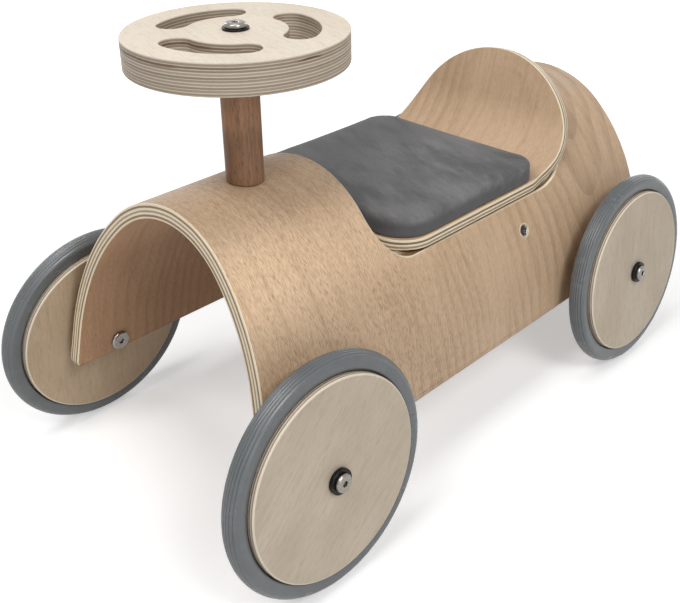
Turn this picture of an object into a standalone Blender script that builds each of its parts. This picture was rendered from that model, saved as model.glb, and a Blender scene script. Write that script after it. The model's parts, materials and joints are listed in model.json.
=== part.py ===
"""A wooden ride-on car for a small child: a bent plywood arch for the body, a bent plywood seat with a
backrest and a pad, a steering wheel that spins on a dowel, and four plywood disc wheels with rubber tyres.

Metres, +Z up, +X forward, +Y to the car's left. The origin is on the floor, below the wheelbase's middle.
Heights called a rise are measured from the wheel centres.
"""

import math

import bmesh
import bpy
import numpy as np
from mathutils import Matrix, Vector

# Clearances
TOUCH = 0.0003  # between two pieces that rest on each other
RUN = 0.0003  # beside each face of a turning piece
HOLE_FIT = 0.0003  # round a shank or a barrel in its hole

# Wheels
WHEELBASE = 0.393
CAMBER = math.radians(5.5)  # the legs lean in by this, and the axles stand square to them
DISC_RADIUS = 0.075
DISC_THICK = 0.021
DISC_CHAMFER = 0.0012
TYRE_HEIGHT = 0.0136
TYRE_WIDTH = 0.0150
TYRE_FOOT = 0.0112  # width where the tyre sits on the disc
TREAD_WIDTH = 0.0080
SIDEWALL = 0.0028  # where the tyre is widest, out from the disc

# Axle hardware
SPACER_LENGTH = 0.0086
SPACER_RADIUS = 0.0100
BARREL_RADIUS = 0.0050
BARREL_WALL = 0.0017
BARREL_SOLID = 0.010  # blind end of the barrel behind its head
SLEEVE_HEAD_RADIUS = 0.0083
SLEEVE_HEAD_HEIGHT = 0.0030
AXLE_WASHER_RADIUS = 0.0096
AXLE_WASHER_THICK = 0.0032
AXLE_SCREW_LENGTH = 0.022
BUTTON_RADIUS = 0.0076  # head of the axle screws and of the steering screw
BUTTON_HEIGHT = 0.0030
BUTTON_SHANK = 0.0030
SOCKET_WIDTH = 0.0042  # hex socket, across the flats
SOCKET_DEPTH = 0.0022
DOME_FLAT = 0.62  # flat end of a domed head, as a share of its radius
DOME_SHOULDER = 0.92, 0.70  # a point of the dome, as shares of radius and height
DOME_SIDE = 0.35  # upright side of a domed head, as a share of its height
SLEEVE_DOME = 0.6  # domed part of the sleeve's head, as a share of its height
SHANK_TIP = 0.3  # chamfer at the end of a shank, as a share of its radius

# Body arch: crown, shoulder and flank arcs of the outer face, down to straight legs
SHELL_THICK = 0.011
RIDGE_RISE = 0.1568
FOOT_DROP = 0.0114
CROWN_RADIUS = 0.092
CROWN_ANGLE = math.radians(42)
SHOULDER_RADIUS = 0.165
SHOULDER_ANGLE = math.radians(66)
FLANK_RADIUS = 0.190
NOSE_OVERHANG = 0.0395  # ahead of the front axle, at wheel centre height
NOSE_RAKE = math.radians(10.5)
TAIL_OVERHANG = 0.0495  # behind the rear axle

# Seat opening and seat board
COWL_SETBACK = 0.117  # ridge of the opening's front edge, behind the front axle
COWL_LEAN = math.radians(7)
COWL_CORNER = 0.030
SEAT_CUT_RISE = 0.0954  # flat edge of the opening
SEAT_GAP = 0.0020  # shadow gap between that edge and the board
BACK_GAP = 0.0025  # added to it behind the bend
BOARD_THICK = 0.0084
SEAT_SETBACK = 0.1305  # front edge of the board, behind the front axle
SEAT_LENGTH = 0.1737  # front edge to the start of the bend
SEAT_CORNER = 0.028
BEND_RADIUS = 0.055  # seat to backrest, upper face
BACKREST_LEAN = math.radians(15)
BACKREST_RADIUS = 0.0885  # half-round end of the flat board
BACKREST_REACH = 0.0253  # centre of that half round, past the start of the bend
TAPER_LENGTH = 0.024  # seat width to backrest width

# Seat pad
PAD_THICK = 0.0162
PAD_CROWN = 0.0014
PAD_SIDE_INSET = 0.0010
PAD_FRONT_INSET = 0.0008
PAD_LENGTH = 0.1785
PAD_CORNER = 0.0240
PAD_EDGE = 0.0040  # rounding of the upper edge
PAD_DRAW_IN = 0.0007  # how far the sides pull in between the corners
PAD_FOOT_INSET = 0.0008
PAD_FOOT_SHARE = 0.3  # of the upright side, where the foot reaches full width
PAD_LEAST_CORNER = 0.2  # of the plan's corner radius, on the innermost rings
PAD_CROWN_RINGS = (0.27, 0.6), (0.55, 1.0)  # shares of the pad's half width, and of its crown

# Crossbars under the seat and their screws
BAR_WIDTH = 0.030
BAR_HEIGHT = 0.046
REAR_BAR_SETBACK = 0.2702
FRONT_BAR_SETBACK = 0.1650
FLANK_SCREW_RISE = 0.0729
FLANK_SCREW_LENGTH = 0.032
FLANK_SCREW_RECESS = 0.0006
FLANK_HEAD_RADIUS = 0.0056
SEAT_SCREW_SPREAD = 0.090
SEAT_SCREW_LENGTH = 0.030
SEAT_HEAD_RADIUS = 0.0045
COUNTERSUNK_HEIGHT = 0.0030
WOOD_SHANK = 0.0021

# Steering
STEERING_SETBACK = 0.0585
COLUMN_RADIUS = 0.014
COLUMN_LENGTH = 0.0873  # ridge to the underside of the steering wheel
RIM_RADIUS = 0.0775
RIM_THICK = 0.0218
RIM_EDGE = 0.0015
SLOT_RADIUS = 0.0468  # middle of the hand slots
SLOT_WIDTH = 0.022
SLOT_SPAN = math.radians(63)  # between the centres of a slot's round ends
SLOT_COUNT = 3
SLOT_TURN = math.radians(26)
STEERING_WASHER_RADIUS = 0.0094
STEERING_WASHER_THICK = 0.0014
STEERING_SCREW_LENGTH = 0.060
COLUMN_BOLT_LENGTH = 0.055
COLUMN_BOLT_HEAD = 0.0080
COLUMN_WASHER_RADIUS = 0.0110
COLUMN_WASHER_THICK = 0.0016

# Facets
WHEEL_SEGMENTS = 48
RIM_SEGMENTS = 60
HARDWARE_SEGMENTS = 16
WASHER_SEGMENTS = 24
COLUMN_SEGMENTS = 32
ARC_STEP = math.radians(4)
SHOULDER_STEPS = 4  # a tyre's shoulder
CORNER_STEPS = 6  # a corner of the board or the pad
COWL_STEPS = 8
TAPER_STEPS = 4
BEND_STEPS = 12
HALF_ROUND_STEPS = 14
EDGE_STEPS = 4  # the pad's upper edge
SLOT_STEPS = 10
SLOT_END_STEPS = 8
BEYOND = 0.05  # how far a cutter runs past what it cuts
HOLE_BEYOND = 0.01  # the same for a hole

# Places that follow
SIDES = {"left": 1, "right": -1}
AXLES = {"front": WHEELBASE / 2, "rear": -WHEELBASE / 2}
FRONT_X = AXLES["front"]
REAR_X = AXLES["rear"]
DISC_TO_FLANK = DISC_THICK / 2 + RUN + SPACER_LENGTH + TOUCH  # wheel's middle plane to the leg's outer face


def quarter_round(centre, radii, start, steps):
    """Points of a quarter ellipse, counter-clockwise from the start angle, without its first point."""
    angles = [start + math.pi / 2 * i / steps for i in range(1, steps + 1)]
    return [(centre[0] + radii[0] * math.cos(a), centre[1] + radii[1] * math.sin(a)) for a in angles]


def tyre_profile():
    """Closed section of a tyre as (radius, place along the axle)."""
    inside = DISC_RADIUS + TOUCH
    foot = TYRE_FOOT / 2
    side = TYRE_WIDTH / 2
    tread = TREAD_WIDTH / 2
    radii = (TYRE_HEIGHT - SIDEWALL, side - tread)
    outer = [(inside, -foot), (inside + SIDEWALL, -side)]
    outer += quarter_round((inside + SIDEWALL, -tread), radii, -math.pi / 2, SHOULDER_STEPS)
    outer += [(inside + TYRE_HEIGHT, tread)]
    outer += quarter_round((inside + SIDEWALL, tread), radii, 0.0, SHOULDER_STEPS)
    return outer + [(inside, foot)]


WHEEL_Z = max(r * math.cos(CAMBER) - u * math.sin(CAMBER) for r, u in tyre_profile())
RIDGE_Z = WHEEL_Z + RIDGE_RISE
FOOT_Z = WHEEL_Z - FOOT_DROP
AXLE_FLANK_Z = WHEEL_Z - DISC_TO_FLANK * math.sin(CAMBER)
SEAT_CUT_Z = WHEEL_Z + SEAT_CUT_RISE
SEAT_Z = SEAT_CUT_Z + SEAT_GAP + BOARD_THICK  # upper face of the seat
SEAT_FRONT_X = FRONT_X - SEAT_SETBACK
BEND_X = SEAT_FRONT_X - SEAT_LENGTH
BEND_TURN = math.pi / 2 - BACKREST_LEAN
STEERING_X = FRONT_X - STEERING_SETBACK
RIM_Z = RIDGE_Z + COLUMN_LENGTH  # underside of the steering wheel
BARS = {"front": FRONT_X - FRONT_BAR_SETBACK, "rear": FRONT_X - REAR_BAR_SETBACK}


def arch_outline(inset):
    """Half of the arch's section, (y, z) from the crown to the foot, this far in from the outer face."""
    points = []
    at = Vector((0.0, RIDGE_Z))
    start = 0.0
    upright = math.pi / 2 - CAMBER
    arcs = (CROWN_RADIUS, CROWN_ANGLE), (SHOULDER_RADIUS, SHOULDER_ANGLE), (FLANK_RADIUS, upright)
    for radius, end in arcs:
        centre = at - radius * Vector((math.sin(start), math.cos(start)))
        steps = math.ceil((end - start) / ARC_STEP)
        for i in range(0 if start == 0.0 else 1, steps + 1):
            a = start + (end - start) * i / steps
            points.append(centre + (radius - inset) * Vector((math.sin(a), math.cos(a))))
        at = centre + radius * Vector((math.sin(end), math.cos(end)))
        start = end
    drop = points[-1].y - FOOT_Z
    points.append(points[-1] + Vector((drop * math.tan(CAMBER), -drop)))
    return [(p.x, p.y) for p in points]


def mirrored(half):
    """A half section's other half, in the opposite order."""
    return [(-y, z) for y, z in reversed(half)]


def half_width(z, inset):
    """The arch's half width at a height."""
    outline = np.array(arch_outline(inset))[::-1]
    return float(np.interp(z, outline[:, 1], outline[:, 0]))


def height_at(y, inset):
    """The arch's height above a point this far from the middle."""
    outline = np.array(arch_outline(inset))
    return float(np.interp(y, outline[:, 0], outline[:, 1]))


def arch_slice(inset, low, high):
    """The part of the half section between two heights, from the top down."""
    inner = [p for p in arch_outline(inset) if low < p[1] < high]
    return [(half_width(high, inset), high)] + inner + [(half_width(low, inset), low)]


def clear_scene():
    for obj in list(bpy.data.objects):
        bpy.data.objects.remove(obj, do_unlink=True)


def material(name, colour, roughness, metallic=0.0):
    made = bpy.data.materials.new(name)
    made.use_nodes = True
    shader = made.node_tree.nodes["Principled BSDF"]
    shader.inputs["Base Color"].default_value = (*colour, 1.0)
    shader.inputs["Roughness"].default_value = roughness
    shader.inputs["Metallic"].default_value = metallic
    return made


BEECH = (0.58, 0.41, 0.27), 0.5
BIRCH = (0.72, 0.64, 0.52), 0.55
DARK_BEECH = (0.36, 0.22, 0.14), 0.5
RUBBER = (0.16, 0.18, 0.19), 0.6
SUEDE = (0.13, 0.13, 0.13), 0.85
NICKEL = (0.62, 0.61, 0.58), 0.25, 1.0
BLACK = (0.012, 0.012, 0.012), 0.45


def add(name, bm, finish, place=None, parent=None, angle=30):
    """One object from a bmesh, with its own material. Without a finish it is a cutter."""
    bmesh.ops.remove_doubles(bm, verts=bm.verts, dist=1e-7)
    bmesh.ops.recalc_face_normals(bm, faces=bm.faces)
    mesh = bpy.data.meshes.new(name)
    bm.to_mesh(mesh)
    bm.free()
    mesh.shade_smooth()
    mesh.set_sharp_from_angle(angle=math.radians(angle))
    obj = bpy.data.objects.new(name, mesh)
    bpy.context.scene.collection.objects.link(obj)
    obj.parent = parent
    obj.matrix_basis = place or Matrix()
    if finish:
        mesh.materials.append(material(name, *finish))
    else:
        obj.hide_render = True
        obj.display_type = "WIRE"
    return obj


def cut(obj, *cutters):
    for cutter in cutters:
        boolean = obj.modifiers.new("cut " + cutter.name, "BOOLEAN")
        boolean.operation = "DIFFERENCE"
        boolean.solver = "EXACT"
        boolean.object = cutter


def turned(profile, segments=HARDWARE_SEGMENTS, closed=False):
    """A profile of (radius, height) spun about Z. An open one runs from the axis back to the axis."""
    bm = bmesh.new()
    verts = [bm.verts.new((r, 0.0, z)) for r, z in profile]
    edges = [bm.edges.new(pair) for pair in zip(verts, verts[1:])]
    if closed:
        edges.append(bm.edges.new((verts[-1], verts[0])))
    bmesh.ops.spin(
        bm,
        geom=verts + edges,
        cent=(0, 0, 0),
        axis=(0, 0, 1),
        angle=2 * math.pi,
        steps=segments,
        use_merge=True,
    )
    bmesh.ops.remove_doubles(bm, verts=bm.verts, dist=1e-7)
    return bm


def prism(outline, along):
    """A flat outline, a list of 3-D points, extruded along a vector."""
    bm = bmesh.new()
    face = bm.faces.new([bm.verts.new(p) for p in outline])
    moved = bmesh.ops.extrude_face_region(bm, geom=[face])["geom"]
    bmesh.ops.translate(bm, verts=[v for v in moved if isinstance(v, bmesh.types.BMVert)], vec=along)
    return bm


def ring(inner, outer, low, high, segments=HARDWARE_SEGMENTS):
    """A plain washer or spacer."""
    return turned([(inner, low), (outer, low), (outer, high), (inner, high)], segments, closed=True)


def rod(radius, low, high, segments=HARDWARE_SEGMENTS):
    return turned([(0, high), (radius, high), (radius, low), (0, low)], segments)


def button_bolt(head_radius, head_height, shank, length):
    """A low domed bolt. The head's seat is at height 0 and the shank runs down."""
    tip = SHANK_TIP * shank
    return turned(
        [
            (0, head_height),
            (DOME_FLAT * head_radius, head_height),
            (DOME_SHOULDER[0] * head_radius, DOME_SHOULDER[1] * head_height),
            (head_radius, DOME_SIDE * head_height),
            (head_radius, 0),
            (shank, 0),
            (shank, tip - length),
            (shank - tip, -length),
            (0, -length),
        ]
    )


def countersunk(head_radius, length, grow=0.0, above=0.0):
    """A wood screw with its flat top at height 0, or the hole for one: wider by grow and open above."""
    points = [(0, above)]
    if above:
        points.append((head_radius + grow, above))
    points += [
        (head_radius + grow, 0),
        (WOOD_SHANK + grow, -COUNTERSUNK_HEIGHT),
        (WOOD_SHANK + grow, -length - grow),
        (0, -length - grow),
    ]
    return turned(points)


def hex_socket(name, top, parent=None, place=None, width=SOCKET_WIDTH, depth=SOCKET_DEPTH, up=1):
    """Cutter for a hex socket in a head whose end face is at this height, facing up or down."""
    corner = width / 2 / math.cos(math.pi / 6)
    turns = [math.pi / 3 * i for i in range(6)]
    outline = [(corner * math.cos(a), corner * math.sin(a), top - up * depth) for a in turns]
    return add(name, prism(outline, (0, 0, up * (depth + BEYOND))), None, place, parent)


def empty(name, place):
    made = bpy.data.objects.new(name, None)
    bpy.context.scene.collection.objects.link(made)
    made.matrix_basis = place
    return made


def square_to_flank(x, y, z, lean, side):
    """A frame with Z straight out of a flank that leans in by this angle, and X forward."""
    out = Vector((0, side * math.cos(lean), math.sin(lean)))
    ahead = Vector((1, 0, 0))
    turn = Matrix((ahead, out.cross(ahead), out)).transposed()
    return Matrix.Translation((x, side * y, z)) @ turn.to_4x4()


def corner_frame(end, side):
    """The frame of one wheel: its origin in the wheel's middle, Z out along the axle."""
    y = half_width(AXLE_FLANK_Z, 0) + DISC_TO_FLANK * math.cos(CAMBER)
    return square_to_flank(AXLES[end], y, WHEEL_Z, CAMBER, SIDES[side])


def wheel(end, side, hub):
    """One wheel with its axle hardware, and the cutter for its hole in the body."""
    which = f"{end}_{side}"
    half = DISC_THICK / 2
    bore = BARREL_RADIUS + HOLE_FIT
    disc = [
        (bore, -half),
        (DISC_RADIUS - DISC_CHAMFER, -half),
        (DISC_RADIUS, DISC_CHAMFER - half),
        (DISC_RADIUS, half - DISC_CHAMFER),
        (DISC_RADIUS - DISC_CHAMFER, half),
        (bore, half),
    ]
    add(f"wheel_disc_{which}", turned(disc, WHEEL_SEGMENTS, closed=True), BIRCH, parent=hub)
    add(f"tyre_{which}", turned(tyre_profile(), WHEEL_SEGMENTS, closed=True), RUBBER, parent=hub)

    flank = -DISC_TO_FLANK
    spacer = ring(bore, SPACER_RADIUS, flank + TOUCH, -half - RUN, WASHER_SEGMENTS)
    add(f"axle_spacer_{which}", spacer, BLACK, parent=hub)
    washer_low = half + RUN
    washer_high = washer_low + AXLE_WASHER_THICK
    washer = ring(BUTTON_SHANK + HOLE_FIT, AXLE_WASHER_RADIUS, washer_low, washer_high, WASHER_SEGMENTS)
    add(f"axle_washer_{which}", washer, BLACK, parent=hub)

    head_seat = flank - SHELL_THICK - TOUCH
    head_end = head_seat - SLEEVE_HEAD_HEIGHT
    barrel_end = washer_low - TOUCH
    barrel_bore = BARREL_RADIUS - BARREL_WALL
    sleeve = [
        (0, head_end),
        (DOME_FLAT * SLEEVE_HEAD_RADIUS, head_end),
        (SLEEVE_HEAD_RADIUS, head_end + SLEEVE_DOME * SLEEVE_HEAD_HEIGHT),
        (SLEEVE_HEAD_RADIUS, head_seat),
        (BARREL_RADIUS, head_seat),
        (BARREL_RADIUS, barrel_end),
        (barrel_bore, barrel_end),
        (barrel_bore, head_seat + BARREL_SOLID),
        (0, head_seat + BARREL_SOLID),
    ]
    sleeve = add(f"axle_sleeve_{which}", turned(sleeve), NICKEL, parent=hub)
    cut(sleeve, hex_socket(f"sleeve_socket_{which}", head_end, hub, up=-1))

    seat = Matrix.Translation((0, 0, washer_high + TOUCH))
    screw = button_bolt(BUTTON_RADIUS, BUTTON_HEIGHT, BUTTON_SHANK, AXLE_SCREW_LENGTH)
    screw = add(f"axle_screw_{which}", screw, NICKEL, seat, hub)
    cut(screw, hex_socket(f"axle_screw_socket_{which}", BUTTON_HEIGHT, hub, seat))

    hole = rod(bore, flank - SHELL_THICK - HOLE_BEYOND, flank + HOLE_BEYOND)
    return add(f"axle_hole_{which}", hole, None, parent=hub)


def body_shell():
    """The bent plywood arch, its nose raked back and its tail cut square."""
    bm = bmesh.new()
    tail = REAR_X - TAIL_OVERHANG
    rows = []
    for inset in (0, SHELL_THICK):
        half = arch_outline(inset)
        rows.append([bm.verts.new((tail, y, z)) for y, z in mirrored(half[1:]) + half])
    quads = zip(rows[0], rows[0][1:], rows[1][1:], rows[1])
    faces = [bm.faces.new(quad) for quad in quads]
    moved = bmesh.ops.extrude_face_region(bm, geom=faces)["geom"]
    for vert in moved:
        if isinstance(vert, bmesh.types.BMVert):
            vert.co.x = FRONT_X + NOSE_OVERHANG - (vert.co.z - WHEEL_Z) * math.tan(NOSE_RAKE)
    return add("body_shell", bm, BEECH)


def seat_opening():
    """Cutter for the seat: square behind the cowl, flat along the flanks, and up behind the backrest."""
    top = RIDGE_Z + BEYOND
    cowl_x = FRONT_X - COWL_SETBACK
    corner_z = SEAT_CUT_Z + COWL_CORNER
    turn = math.pi / 2 + COWL_LEAN
    slope = math.tan(COWL_LEAN)
    cowl_low = cowl_x + slope * (RIDGE_Z - corner_z)
    centre_x = cowl_low - COWL_CORNER / math.cos(COWL_LEAN)
    outline = [(cowl_x - slope * BEYOND, top)]
    for i in range(COWL_STEPS + 1):
        a = COWL_LEAN - turn * i / COWL_STEPS
        outline.append((centre_x + COWL_CORNER * math.cos(a), corner_z + COWL_CORNER * math.sin(a)))
    radius = BEND_RADIUS + BOARD_THICK + SEAT_GAP
    bend_x = BEND_X - BACK_GAP
    bend_z = SEAT_Z + BEND_RADIUS
    for i in range(BEND_STEPS + 1):
        a = BEND_TURN * i / BEND_STEPS
        outline.append((bend_x - radius * math.sin(a), bend_z - radius * math.cos(a)))
    x, z = outline[-1]
    outline.append((x - (top - z) * math.tan(BACKREST_LEAN), top))
    side = half_width(FOOT_Z, 0) + BEYOND
    return add("seat_opening", prism([(x, -side, z) for x, z in outline], (0, 2 * side, 0)), None)


def seat_half_width(s):
    """Half width of the flat board, this far behind the start of the bend."""
    seat = half_width(SEAT_CUT_Z, 0)
    from_front = s + SEAT_LENGTH
    if from_front < SEAT_CORNER:
        return seat - SEAT_CORNER + math.sqrt(SEAT_CORNER**2 - (SEAT_CORNER - from_front) ** 2)
    t = min(max(s / TAPER_LENGTH + 0.5, 0), 1)
    width = seat + (BACKREST_RADIUS - seat) * t * t * (3 - 2 * t)
    if s > BACKREST_REACH:
        width = math.sqrt(max(BACKREST_RADIUS**2 - (s - BACKREST_REACH) ** 2, 0))
    return width


def seat_place(s, depth):
    """(x, z) on the bent board, this far behind the start of the bend and this deep below its upper face."""
    if s <= 0:
        return BEND_X - s, SEAT_Z - depth
    a = min(s / BEND_RADIUS, BEND_TURN)
    on = max(s - BEND_RADIUS * BEND_TURN, 0)
    x = BEND_X - (BEND_RADIUS + depth) * math.sin(a) - on * math.cos(a)
    return x, SEAT_Z + BEND_RADIUS - (BEND_RADIUS + depth) * math.cos(a) + on * math.sin(a)


def seat_stations():
    """Places along the board where its width or its bend changes."""
    quarter = math.pi / 2
    corner = [SEAT_CORNER * (1 - math.cos(quarter * i / CORNER_STEPS)) for i in range(CORNER_STEPS + 1)]
    corner = [place - SEAT_LENGTH for place in corner]
    taper = [TAPER_LENGTH * (i / TAPER_STEPS - 0.5) for i in range(TAPER_STEPS + 1)]
    bend = [BEND_RADIUS * BEND_TURN * i / BEND_STEPS for i in range(BEND_STEPS + 1)]
    half_round = [math.sin(quarter * i / HALF_ROUND_STEPS) for i in range(HALF_ROUND_STEPS + 1)]
    half_round = [BACKREST_REACH + BACKREST_RADIUS * share for share in half_round]
    return sorted(set(corner + taper + bend + half_round))


def seat_board():
    """Bent plywood: a flat seat, a bend, and a half-round backrest."""
    bm = bmesh.new()
    rows = []
    for s in seat_stations():
        w = seat_half_width(s)
        x, z = seat_place(s, 0)
        low_x, low_z = seat_place(s, BOARD_THICK)
        corners = [(x, w, z), (x, -w, z), (low_x, -w, low_z), (low_x, w, low_z)]
        rows.append([bm.verts.new(corner) for corner in corners])
    for a, b in zip(rows, rows[1:]):
        for i in range(4):
            bm.faces.new((a[i], a[i - 1], b[i - 1], b[i]))
    bm.faces.new(rows[0])
    bm.faces.new(rows[-1][::-1])
    bmesh.ops.dissolve_degenerate(bm, dist=1e-6, edges=bm.edges)
    return add("seat_board", bm, BEECH)


def pad_half_width():
    return half_width(SEAT_CUT_Z, 0) - PAD_SIDE_INSET


def pad_outline(inset):
    """Rounded plan of the pad with slightly drawn-in sides, this far in from its edge, as (x, y)."""
    length = PAD_LENGTH / 2
    width = pad_half_width()
    centre = SEAT_FRONT_X - PAD_FRONT_INSET - length
    corner = max(PAD_CORNER - inset, PAD_LEAST_CORNER * PAD_CORNER)
    reach = length - inset - corner
    spread = width - inset - corner
    points = []
    for i, (along, across) in enumerate(((1, 1), (-1, 1), (-1, -1), (1, -1))):
        for k in range(CORNER_STEPS + 1):
            a = math.pi / 2 * (i + k / CORNER_STEPS)
            points.append((along * reach + corner * math.cos(a), across * spread + corner * math.sin(a)))
        side = ((0, -across * PAD_DRAW_IN), (-along * PAD_DRAW_IN, 0))[i % 2]
        middle = ((0, across * (spread + corner)), (along * (reach + corner), 0))[i % 2]
        points.append((middle[0] + side[0], middle[1] + side[1]))
    return [(centre + x, y) for x, y in points]


def seat_pad():
    """The pad: drawn in at its foot, rounded along its upper edge and slightly crowned."""
    foot = SEAT_Z + TOUCH
    rim = foot + PAD_THICK - PAD_EDGE
    levels = [(PAD_FOOT_INSET, foot), (0, foot + PAD_FOOT_SHARE * (rim - foot)), (0, rim)]
    for i in range(1, EDGE_STEPS + 1):
        a = math.pi / 2 * i / EDGE_STEPS
        levels.append((PAD_EDGE * (1 - math.cos(a)), rim + PAD_EDGE * math.sin(a)))
    for inward, crown in PAD_CROWN_RINGS:
        levels.append((inward * pad_half_width(), foot + PAD_THICK + crown * PAD_CROWN))
    bm = bmesh.new()
    rings = [[bm.verts.new((x, y, z)) for x, y in pad_outline(inset)] for inset, z in levels]
    for low, high in zip(rings, rings[1:]):
        for i in range(len(low)):
            bm.faces.new((low[i - 1], low[i], high[i], high[i - 1]))
    bm.faces.new(rings[0][::-1])
    bm.faces.new(rings[-1])
    return add("seat_pad", bm, SUEDE, angle=60)


def crossbar(name, x):
    """A beech bar under the seat, its ends shaped to the inside of the arch."""
    high = SEAT_Z - BOARD_THICK - TOUCH
    half = arch_slice(SHELL_THICK + TOUCH, high - BAR_HEIGHT, high)
    outline = [(x - BAR_WIDTH / 2, y, z) for y, z in half + mirrored(half)]
    return add(name, prism(outline, (BAR_WIDTH, 0, 0)), DARK_BEECH)


def seat_screws(board, bars):
    """Countersunk screws through the board into the crossbars, below the pad."""
    for end, bar in bars.items():
        for side, sign in SIDES.items():
            place = Matrix.Translation((BARS[end], sign * SEAT_SCREW_SPREAD / 2, SEAT_Z))
            add(f"seat_screw_{end}_{side}", countersunk(SEAT_HEAD_RADIUS, SEAT_SCREW_LENGTH), NICKEL, place)
            hole = countersunk(SEAT_HEAD_RADIUS, SEAT_SCREW_LENGTH, HOLE_FIT, HOLE_BEYOND)
            hole = add(f"seat_screw_hole_{end}_{side}", hole, None, place)
            cut(board, hole)
            cut(bar, hole)


def flank_screws(shell, bar):
    """Recessed screws through the flanks into the ends of the rear crossbar, square to the flank there."""
    z = WHEEL_Z + FLANK_SCREW_RISE
    outline = arch_outline(0)
    above, below = next(pair for pair in zip(outline, outline[1:]) if pair[1][1] <= z)
    lean = math.atan2(below[0] - above[0], above[1] - below[1])
    sunk = Matrix.Translation((0, 0, -FLANK_SCREW_RECESS))
    for side, sign in SIDES.items():
        place = square_to_flank(BARS["rear"], half_width(z, 0), z, lean, sign)
        spot = empty(f"flank_screw_place_{side}", place)
        screw = countersunk(FLANK_HEAD_RADIUS, FLANK_SCREW_LENGTH)
        screw = add(f"flank_screw_{side}", screw, NICKEL, sunk, spot)
        cut(screw, hex_socket(f"flank_socket_{side}", 0, spot, sunk))
        hole = countersunk(FLANK_HEAD_RADIUS, FLANK_SCREW_LENGTH, HOLE_FIT, HOLE_BEYOND)
        hole = add(f"flank_hole_{side}", hole, None, sunk, spot)
        cut(shell, hole)
        cut(bar, hole)


def steering_column(shell):
    """A dowel coped to the ridge, with the bolt and washer that hold it from inside the hood."""
    foot = Matrix.Translation((STEERING_X, 0, 0))
    top = RIM_Z - RUN
    dowel = rod(COLUMN_RADIUS, RIDGE_Z - BEYOND, top, COLUMN_SEGMENTS)
    column = add("steering_column", dowel, DARK_BEECH, foot)
    saddle = arch_outline(-TOUCH)
    reach = 2 * COLUMN_RADIUS
    outline = [(STEERING_X - reach, y, z) for y, z in saddle + mirrored(saddle[1:])]
    cut(column, add("saddle", prism(outline, (2 * reach, 0, 0)), None))

    washer_top = height_at(COLUMN_WASHER_RADIUS, SHELL_THICK) - TOUCH
    washer_low = washer_top - COLUMN_WASHER_THICK
    hole = BUTTON_SHANK + HOLE_FIT
    washer = ring(hole, COLUMN_WASHER_RADIUS, washer_low, washer_top, WASHER_SEGMENTS)
    add("column_washer", washer, NICKEL, foot)
    head = Matrix.Translation((STEERING_X, 0, washer_low - TOUCH)) @ Matrix.Rotation(math.pi, 4, "X")
    bolt = button_bolt(COLUMN_BOLT_HEAD, BUTTON_HEIGHT, BUTTON_SHANK, COLUMN_BOLT_LENGTH)
    bolt = add("column_bolt", bolt, NICKEL, head)
    cut(bolt, hex_socket("column_bolt_socket", BUTTON_HEIGHT, place=head))
    bolt_hole = add("column_bolt_hole", rod(hole, -COLUMN_BOLT_LENGTH - HOLE_FIT, BUTTON_HEIGHT), None, head)
    cut(column, bolt_hole)
    cut(shell, bolt_hole)
    return column


def hand_slot(name, middle, parent):
    """Cutter for one curved slot with round ends."""
    half = SLOT_WIDTH / 2
    first = middle - SLOT_SPAN / 2
    last = middle + SLOT_SPAN / 2
    points = []

    def sweep(centre, radius, start, end, steps):
        for i in range(steps):
            a = start + (end - start) * i / steps
            points.append((centre[0] + radius * math.cos(a), centre[1] + radius * math.sin(a)))

    ends = [(SLOT_RADIUS * math.cos(a), SLOT_RADIUS * math.sin(a)) for a in (first, last)]
    sweep((0, 0), SLOT_RADIUS + half, first, last, SLOT_STEPS)
    sweep(ends[1], half, last, last + math.pi, SLOT_END_STEPS)
    sweep((0, 0), SLOT_RADIUS - half, last, first, SLOT_STEPS)
    sweep(ends[0], half, first + math.pi, first + 2 * math.pi, SLOT_END_STEPS)
    outline = [(x, y, -BEYOND) for x, y in points]
    return add(name, prism(outline, (0, 0, 2 * BEYOND)), None, parent=parent)


def steering_wheel(column):
    """A plywood disc with three hand slots, spinning on the screw in the top of the column."""
    hub = empty("steering_axis", Matrix.Translation((STEERING_X, 0, RIM_Z)))
    hole = BUTTON_SHANK + HOLE_FIT
    disc = [
        (hole, 0),
        (RIM_RADIUS - RIM_EDGE, 0),
        (RIM_RADIUS, RIM_EDGE),
        (RIM_RADIUS, RIM_THICK - RIM_EDGE),
        (RIM_RADIUS - RIM_EDGE, RIM_THICK),
        (hole, RIM_THICK),
    ]
    disc = add("steering_wheel", turned(disc, RIM_SEGMENTS, closed=True), BIRCH, parent=hub)
    for i in range(SLOT_COUNT):
        middle = SLOT_TURN + 2 * math.pi * i / SLOT_COUNT
        cut(disc, hand_slot(f"hand_slot_{i + 1}", middle, hub))

    washer_low = RIM_THICK + RUN
    washer_high = washer_low + STEERING_WASHER_THICK
    washer = ring(hole, STEERING_WASHER_RADIUS, washer_low, washer_high, WASHER_SEGMENTS)
    add("steering_washer", washer, BLACK, parent=hub)
    seat = Matrix.Translation((0, 0, washer_high + TOUCH))
    screw = button_bolt(BUTTON_RADIUS, BUTTON_HEIGHT, BUTTON_SHANK, STEERING_SCREW_LENGTH)
    screw = add("steering_screw", screw, NICKEL, seat, hub)
    cut(screw, hex_socket("steering_screw_socket", BUTTON_HEIGHT, hub, seat))
    pilot = rod(hole, -STEERING_SCREW_LENGTH - HOLE_FIT, BUTTON_HEIGHT)
    cut(column, add("steering_pilot", pilot, None, seat, hub))


def main():
    clear_scene()
    shell = body_shell()
    cut(shell, seat_opening())
    for end in AXLES:
        for side in SIDES:
            hub = empty(f"hub_{end}_{side}", corner_frame(end, side))
            cut(shell, wheel(end, side, hub))
    board = seat_board()
    seat_pad()
    bars = {end: crossbar(f"{end}_crossbar", x) for end, x in BARS.items()}
    seat_screws(board, bars)
    flank_screws(shell, bars["rear"])
    column = steering_column(shell)
    steering_wheel(column)


main()
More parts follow.
